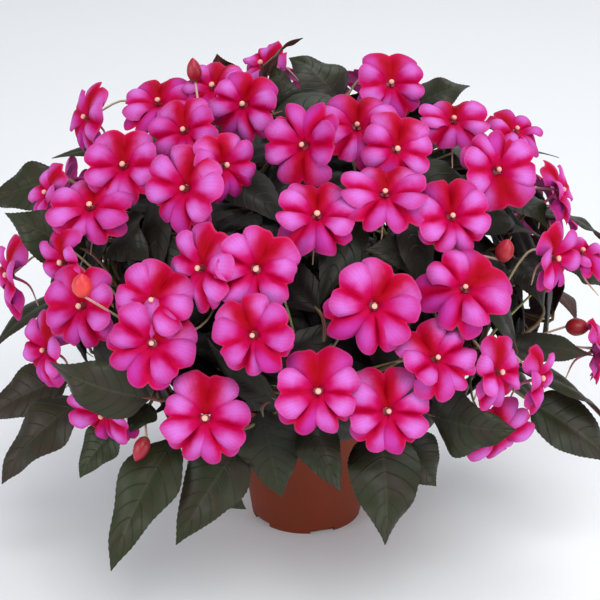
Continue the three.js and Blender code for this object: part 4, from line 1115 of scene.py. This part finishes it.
class Look:
    """One node material, with short ways to add its nodes."""

    def __init__(self, name):
        self.material = bpy.data.materials.new(name)
        self.material.use_nodes = True
        self.tree = self.material.node_tree
        self.tree.nodes.clear()
        output = self.tree.nodes.new("ShaderNodeOutputMaterial")
        self.shader = self.tree.nodes.new("ShaderNodeBsdfPrincipled")
        self.tree.links.new(self.shader.outputs["BSDF"], output.inputs["Surface"])

    def feed(self, socket, value):
        if isinstance(value, bpy.types.NodeSocket):
            self.tree.links.new(value, socket)
        else:
            socket.default_value = value

    def node(self, kind, **inputs):
        """A new node with its inputs fed by name."""
        node = self.tree.nodes.new("ShaderNode" + kind)
        for name, value in inputs.items():
            self.feed(node.inputs[name.replace("_", " ")], value)
        return node

    def plan(self):
        """Along, across, kind (on leaves also their painted shade) and the piece's own number."""
        source = self.node("Attribute")
        source.attribute_name = "plan"
        split = self.node("SeparateColor", Color=source.outputs["Color"])
        return split.outputs["Red"], split.outputs["Green"], split.outputs["Blue"], source.outputs["Alpha"]

    def math(self, operation, first, second=0.0, third=0.0):
        node = self.node("Math")
        node.operation = operation
        for socket, value in zip(node.inputs, (first, second, third)):
            self.feed(socket, value)
        return node.outputs["Value"]

    def times(self, first, second):
        return self.math("MULTIPLY", first, second)

    def scaled(self, value, factor, shift):
        return self.math("MULTIPLY_ADD", value, factor, shift)

    def smooth(self, value, low, high):
        node = self.node("MapRange", Value=value, From_Min=low, From_Max=high)
        node.interpolation_type = "SMOOTHSTEP"
        return node.outputs["Result"]

    def mix(self, share, first, second):
        """Two colours mixed, each one from the nodes or as its values on a screen."""
        node = self.node("Mix")
        node.data_type = "RGBA"
        self.feed(node.inputs[0], share)
        for socket, value in ((node.inputs[6], first), (node.inputs[7], second)):
            self.feed(socket, colour(*value) if isinstance(value, tuple) else value)
        return node.outputs[2]

    def noise(self, scale, detail=3.0):
        place = self.node("TexCoord").outputs["Object"]
        return self.node("TexNoise", Vector=place, Scale=scale, Detail=detail).outputs["Fac"]

    def finish(self, base, roughness, height=None, depth=0, **others):
        """Gives the shader its colour, its gloss and its bump, and returns the material."""
        for name, value in {"Base_Color": base, "Roughness": roughness, **others}.items():
            self.feed(self.shader.inputs[name.replace("_", " ")], value)
        if depth:
            bump = self.node("Bump", Distance=depth, Strength=1.0, Height=height)
            self.feed(self.shader.inputs["Normal"], bump.outputs["Normal"])
        return self.material


def petal_look():
    """Hot pink petals, each lobe with a painted lilac highlight that fades at the rim, lit and shaded copies
    of this paint by petal and at random, and red wedges along the creases.
    """
    look = Look("petal_two_tone")
    along, across, kind, own = look.plan()
    half = look.math("ABSOLUTE", look.scaled(across, 2.0, -1.0))
    wobble = look.scaled(look.noise(110.0), 0.30, -0.15)
    half = look.math("ADD", half, wobble)
    reach = look.scaled(wobble, 0.7, along)
    back = look.smooth(kind, 0.45, 0.55)
    low = look.math("SUBTRACT", look.smooth(kind, 0.1, 0.2), back)
    inward = look.math("POWER", look.math("SUBTRACT", 1.0, along), 2.0)
    width = look.scaled(inward, 0.5, 0.19)
    width = look.math("ADD", width, look.times(back, 0.6))
    width = look.math("ADD", width, look.times(low, 0.16))
    wedge = look.smooth(half, width, look.times(width, 0.25))
    throat = look.smooth(reach, look.scaled(back, 0.2, 0.4), 0.08)
    core = look.smooth(half, look.times(width, 0.8), look.times(width, 0.1))
    core = look.times(core, look.scaled(back, 0.75, 0.25))
    core = look.times(core, look.smooth(along, 1.1, 0.55))
    reds = look.mix(core, (184, 0, 62), (158, 0, 20))
    rim = look.smooth(look.math("MAXIMUM", along, half), 0.68, 1.0)
    # Painted highlight: the lilac centre of each domed lobe, fading towards the rim
    lobe = look.times(look.smooth(reach, 0.2, 0.66), look.smooth(half, 0.1, 0.52))
    lobe = look.times(lobe, look.math("SUBTRACT", 1.0, look.times(rim, 0.62)))
    # Painted shade: the low petals, and the back petal less so, take the shaded copy of the paint; each
    # petal's own number adds a random tone
    petal_shade_and_tone = look.math("ADD", look.times(low, 0.6), look.times(back, 0.3))
    petal_shade_and_tone = look.smooth(look.math("ADD", petal_shade_and_tone, look.scaled(own, 0.9, -0.38)), -0.1, 1.0)
    # light and dark are lit and shaded copies of the same petal paint
    light = look.mix(lobe, (190, 6, 106), (202, 110, 202))
    dark = look.mix(lobe, (172, 2, 88), (182, 52, 152))
    base = look.mix(look.math("MAXIMUM", wedge, throat), look.mix(petal_shade_and_tone, light, dark), reds)
    base = look.mix(look.times(look.smooth(along, 0.92, 1.0), 0.13), base, (226, 120, 180))
    veins = look.smooth(look.math("SINE", look.times(across, 110.0)), 0.3, 1.0)
    veins = look.times(veins, 0.12)
    base = look.mix(veins, base, (180, 4, 84))
    beneath = look.mix(look.smooth(half, 0.1, 0.6), (206, 58, 140), (222, 106, 190))
    beneath = look.mix(veins, beneath, (186, 40, 120))
    base = look.mix(look.smooth(kind, 0.8, 0.9), base, beneath)
    height = look.math("ADD", look.noise(700.0, 2.0), veins)
    return look.finish(base, 0.6, height, 0.0003, Specular_IOR_Level=0.06)


def spur_look():
    look = Look("spur_pale_pink")
    along, _, _, _ = look.plan()
    # The throat end is a deep dark red: the eye's red, deepened as painted shade in the throat
    base = look.mix(look.smooth(along, 0.05, 0.3), (110, 0, 24), (214, 100, 140))
    base = look.mix(look.smooth(along, 0.6, 1.0), base, (214, 190, 150))
    return look.finish(base, 0.45, look.noise(500.0), 0.0002)


def cap_look():
    look = Look("anther_cap_cream")
    along, across, _, _ = look.plan()
    # The cap's foot is a deep dark red: the eye's red, deepened as painted shade where it sits in the throat
    base = look.mix(look.smooth(along, 0.2, 0.5), (110, 0, 26), (228, 184, 160))
    lobes = look.smooth(look.math("SINE", look.times(across, 31.4)), -0.2, 0.8)
    base = look.mix(look.times(lobes, 0.4), base, (230, 140, 140))
    return look.finish(base, 0.6, look.noise(900.0), 0.0002)


def leaf_look():
    """Bronze green with painted shade in the furrows along the veins, a paler midrib, a maroon underside and
    painted shade on leaves deep inside the mound.
    """
    look = Look("leaf_bronze_green")
    along, across, side_and_painted_shade, own = look.plan()
    # The plan's third channel is 1 more on the underside and carries the painted shade of leaves deep inside
    # the mound
    under = look.smooth(side_and_painted_shade, 0.7, 0.9)
    painted_shade = look.times(look.math("SUBTRACT", side_and_painted_shade, under), 2.0)
    half = look.math("ABSOLUTE", look.scaled(across, 2.0, -1.0))
    bow = look.times(look.math("POWER", half, 1.4), VEIN_BOW)
    phase = look.times(look.math("SUBTRACT", along, bow), float(VEIN_PAIRS))
    ridge = look.math("ABSOLUTE", look.math("SINE", look.times(phase, math.pi)))
    vein = look.smooth(ridge, 0.22, 0.0)
    rib = look.smooth(half, 0.07, 0.015)
    base = look.mix(look.smooth(look.noise(60.0, 4.0), 0.35, 0.7), (39, 45, 24), (49, 40, 28))
    base = look.mix(look.times(look.smooth(own, 0.5, 1.0), 0.5), base, (43, 59, 26))
    base = look.mix(look.times(look.smooth(own, 0.25, 0.0), 0.6), base, (54, 36, 31))
    # Painted shade: a dark green band along each vein's furrow, where the quilted blade sinks
    base = look.mix(look.times(look.smooth(ridge, 0.55, 0.0), 0.42), base, (22, 26, 15))
    base = look.mix(look.times(rib, 0.26), base, (80, 78, 56))
    lines = look.times(look.math("MAXIMUM", look.times(vein, 0.6), rib), 0.6)
    base = look.mix(under, base, look.mix(lines, (86, 52, 44), (140, 90, 80)))
    # Painted shade: leaves deep inside the mound are painted near black
    base = look.mix(painted_shade, base, (13, 10, 7))
    height = look.math("SUBTRACT", look.times(look.noise(900.0, 2.0), 0.15), look.times(vein, 0.5))
    return look.finish(base, 0.44, height, 0.0004, Specular_IOR_Level=0.26)


def stem_look():
    look = Look("stem_fleshy_red_green")
    base = look.mix(look.smooth(look.noise(90.0), 0.35, 0.65), (96, 92, 52), (112, 52, 46))
    return look.finish(base, 0.4, look.noise(400.0), 0.0003)


def pedicel_look():
    look = Look("pedicel_pale")
    along, _, _, _ = look.plan()
    base = look.mix(look.smooth(along, 0.3, 1.0), (150, 150, 96), (206, 168, 150))
    return look.finish(base, 0.45, look.noise(500.0), 0.0002)


def bud_look():
    look = Look("bud_orange_red")
    along, _, _, own = look.plan()
    flush = look.mix(own, (150, 14, 38), (212, 56, 54))
    tip = look.mix(own, (160, 16, 54), (204, 44, 60))
    base = look.mix(look.smooth(along, 0.0, 0.2), (120, 80, 50), flush)
    base = look.mix(look.smooth(along, 0.5, 1.0), base, tip)
    return look.finish(base, 0.4, look.noise(300.0), 0.0004)


def pot_look():
    look = Look("terracotta_plastic_matte")
    base = look.mix(look.noise(30.0, 4.0), (106, 40, 18), (120, 47, 22))
    return look.finish(base, 0.55, look.noise(700.0), 0.00015, Specular_IOR_Level=0.25)


def soil_look():
    look = Look("peat_crumbly")
    crumb = look.noise(260.0, 6.0)
    return look.finish(look.mix(crumb, (24, 17, 13), (70, 50, 38)), 0.95, crumb, 0.002)


def floor_look_painted_glow():
    look = Look("pale_studio_floor_painted_glow")
    base = look.mix(look.noise(2.0), (232, 234, 237), (235, 237, 240))
    # Painted light: the floor glows faintly by its own emission, which lifts the shadows on it
    return look.finish(base, 0.8, Specular_IOR_Level=0.1, Emission_Color=base, Emission_Strength=0.06)


def dress(piece, node):
    """Lets a piece stand for a node of the frame and move with it."""
    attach(piece, "root")
    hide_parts(node)


def circles(radii, heights, sides):
    """Rings round the axis, with a height for each ring or each corner."""
    angles = 2 * math.pi * np.arange(sides) / sides
    rings = np.empty((len(radii), sides, 3))
    rings[..., 0] = np.outer(radii, np.cos(angles))
    rings[..., 1] = np.outer(radii, np.sin(angles))
    rings[..., 2] = heights
    return rings


def closed_rings(name, rings, ends, look, turned=False):
    """A piece made of rings round the axis that is closed by a point at each end."""
    rows, sides, _ = rings.shape
    first = rows * sides
    faces = ring_faces(rows, sides)
    for k in range(sides):
        following = (k + 1) % sides
        faces.append((first, following, k))
        faces.append((first + 1, first - sides + k, first - sides + following))
    if turned:
        faces = [[face[0], *face[:0:-1]] for face in faces]
    surface = Surface()
    surface.add(np.vstack([rings.reshape(-1, 3), np.outer(ends, UP)]), faces)
    return surface.piece(name, [look])


def pot_radius(height):
    return POT_FOOT_RADIUS + (POT_NECK_RADIUS - POT_FOOT_RADIUS) * height / (POT_HEIGHT - POT_RIM_HEIGHT)


def rounded(centre, radius, start, end, steps=5):
    """Points of a round edge, from a start to an end angle in degrees."""
    angles = np.radians(np.linspace(start, end, steps))
    return [(centre[0] + radius * math.cos(angle), centre[1] + radius * math.sin(angle)) for angle in angles]


def cut_drain_slots(pot):
    """Cuts the slots that let water out where the wall meets the foot."""
    deep, wide, high = DRAIN_SLOT_SIZE
    cuts = Surface()
    for slot in range(DRAIN_SLOTS):
        outward = level(FIRST_DRAIN_SLOT_DEG + 360 / DRAIN_SLOTS * slot)
        sideways = np.cross(UP, outward)
        corners = [
            outward * (POT_FOOT_RADIUS + x * deep / 2) + sideways * (y * wide / 2) + UP * (z * high / 2)
            for z in (-1, 1)
            for x, y in ((-1, -1), (1, -1), (1, 1), (-1, 1))
        ]
        cuts.add(corners, BOX_FACES)
    cutter = cuts.piece("drain_slot_cuts", [])
    cut = pot.modifiers.new("slots", "BOOLEAN")
    cut.operation = "DIFFERENCE"
    cut.solver = "EXACT"
    cut.object = cutter
    shaped = bpy.data.meshes.new_from_object(pot.evaluated_get(bpy.context.evaluated_depsgraph_get()))
    shaped.set_sharp_from_angle(angle=math.radians(50))
    pot.modifiers.clear()
    pot.data = shaped
    bpy.data.objects.remove(cutter)


def make_pot():
    ledge = POT_HEIGHT - POT_RIM_HEIGHT
    profile = rounded((POT_FOOT_RADIUS - 1.2, 1.2), 1.2, -90, 0)
    profile += [(pot_radius(ledge) - 0.2, ledge - 1.5), (POT_NECK_RADIUS, ledge)]
    profile += rounded((POT_RIM_RADIUS - 1.6, ledge + 0.9), 0.9, -90, 0)
    profile += rounded((POT_RIM_RADIUS - POT_WALL / 2, POT_HEIGHT - POT_WALL / 2), POT_WALL / 2, 0, 180, 9)
    profile += [(POT_NECK_RADIUS - POT_WALL + 0.6, ledge), (pot_radius(POT_FLOOR) - POT_WALL, POT_FLOOR)]
    radii, heights = zip(*profile)
    rings = circles(radii, np.array(heights)[:, None], POT_SEGMENTS)
    pot = closed_rings("pot_fine", rings, (0, POT_FLOOR), pot_look())
    cut_drain_slots(pot)
    dress(pot, "pot")


def make_soil():
    """The peat: a crumbly top of many rings, and one lowest ring near the pot's floor."""
    top = SOIL_TOP - 0.5
    radius = pot_radius(top) - POT_WALL - 0.4
    radii = [radius * ring / SOIL_RINGS for ring in range(1, SOIL_RINGS + 1)]
    radii.append(pot_radius(SOIL_BOTTOM) - POT_WALL - 0.6)
    draws = Draws(77)
    heights = np.full((SOIL_RINGS + 1, SOIL_SEGMENTS), float(SOIL_BOTTOM))
    for ring, k in product(range(SOIL_RINGS), range(SOIL_SEGMENTS)):
        heights[ring, k] = top + draws.between(-0.9, 0.9) * (ring < SOIL_RINGS - 1)
    rings = circles(radii, heights, SOIL_SEGMENTS)
    soil = closed_rings("soil_fine", rings, (top, SOIL_BOTTOM), soil_look(), turned=True)
    dress(soil, "soil")


def make_blooms():
    looks = [petal_look(), spur_look(), cap_look()]
    for name in BLOOM_NAMES:
        surface = Surface()
        for index, bloom in enumerate(blooms):
            if bloom["node"] == name:
                fine_bloom(surface, bloom, index)
        dress(surface.piece(name + "_fine", looks), name)


def on_stem(items, stem):
    return [(number, item) for number, item in enumerate(items) if item["stem"] is stem]


def make_stems():
    looks = [leaf_look(), stem_look(), pedicel_look(), bud_look()]
    for stem in stems:
        surface = Surface()
        fine_stem(surface, stem)
        for number, leaf in on_stem(leaves, stem):
            fine_leaf(surface, leaf, number)
        for number, leaf in on_stem(inner_leaves, stem):
            fine_leaf(surface, leaf, INNER_LEAF_SEED + number, INNER_ROWS, INNER_HALF_COLUMNS)
        for _, pedicel in on_stem(pedicels, stem):
            fine_stalk(surface, smooth_line(pedicel["points"], 6), STALK_END_RADIUS)
        for number, bud in on_stem(buds, stem):
            fine_bud(surface, bud, number)
        dress(surface.piece(stem["name"] + "_fine", looks), stem["name"])


def make_stage():
    """A floor that bends up into a wall behind the plant."""
    bend = rounded((FLOOR_END, WALL_BEND), WALL_BEND, BEND_START_DEG, 0, 16)
    line = [(FLOOR_START, 0), (FLOOR_END, 0)] + bend + [(FLOOR_END + WALL_BEND, WALL_HEIGHT)]
    corners = [(x, y, z) for y, z in line for x in (-FLOOR_HALF_WIDTH, FLOOR_HALF_WIDTH)]
    faces = [(2 * k, 2 * k + 1, 2 * k + 3, 2 * k + 2) for k in range(len(line) - 1)]
    surface = Surface()
    surface.add(corners, faces)
    surface.piece("studio_floor", [floor_look_painted_glow()])


def area_light(name, place, aim, size, power, tint):
    light = bpy.data.lights.new(name, "AREA")
    light.shape = "RECTANGLE"
    light.size, light.size_y = size
    light.energy = power
    light.color = tint
    lamp = bpy.data.objects.new(name, light)
    lamp.location = place
    lamp.rotation_euler = (Vector(aim) - Vector(place)).to_track_quat("-Z", "Y").to_euler()
    bpy.context.collection.objects.link(lamp)


def make_lights():
    world = bpy.data.worlds.new("studio")
    world.use_nodes = True
    background = world.node_tree.nodes["Background"]
    background.inputs["Color"].default_value = (0.94, 0.965, 1.0, 1.0)
    background.inputs["Strength"].default_value = 0.4
    bpy.context.scene.world = world
    area_light("key", (0.4, -1.5, 2.0), (0, 0, 0.2), (1.6, 1.4), 33, (1.0, 0.99, 0.97))
    area_light("fill", (-1.8, -1.4, 0.8), (0, 0, 0.15), (1.6, 0.9), 20, (0.98, 0.99, 1.0))
    area_light("low", (1.9, -1.3, 0.5), (0.1, 0, 0), (1.6, 0.6), 17, (0.97, 0.98, 1.0))
    area_light("top", (0.8, 0.9, 2.3), (0, 0, 0.2), (1.8, 1.2), 24, (1.0, 1.0, 1.0))


def make_camera():
    data = bpy.data.cameras.new("camera")
    data.angle = 2 * math.atan(PICTURE_CENTRE / PICTURE_SCALE)
    data.clip_start = 0.05
    data.clip_end = 40
    camera = bpy.data.objects.new("camera", data)
    camera.location = EYE * MM
    camera.rotation_euler = (math.radians(90 - LOOK_DOWN_DEG), 0, 0)
    bpy.context.collection.objects.link(camera)
    bpy.context.scene.camera = camera


stems, blooms, pedicels, buds, leaves = settle_everything()
inner_leaves = grow_inner_leaves(stems)
make_camera()
make_lights()
make_stage()
make_pot()
make_soil()
make_blooms()
make_stems()
bpy.context.scene.view_settings.view_transform = "Standard"
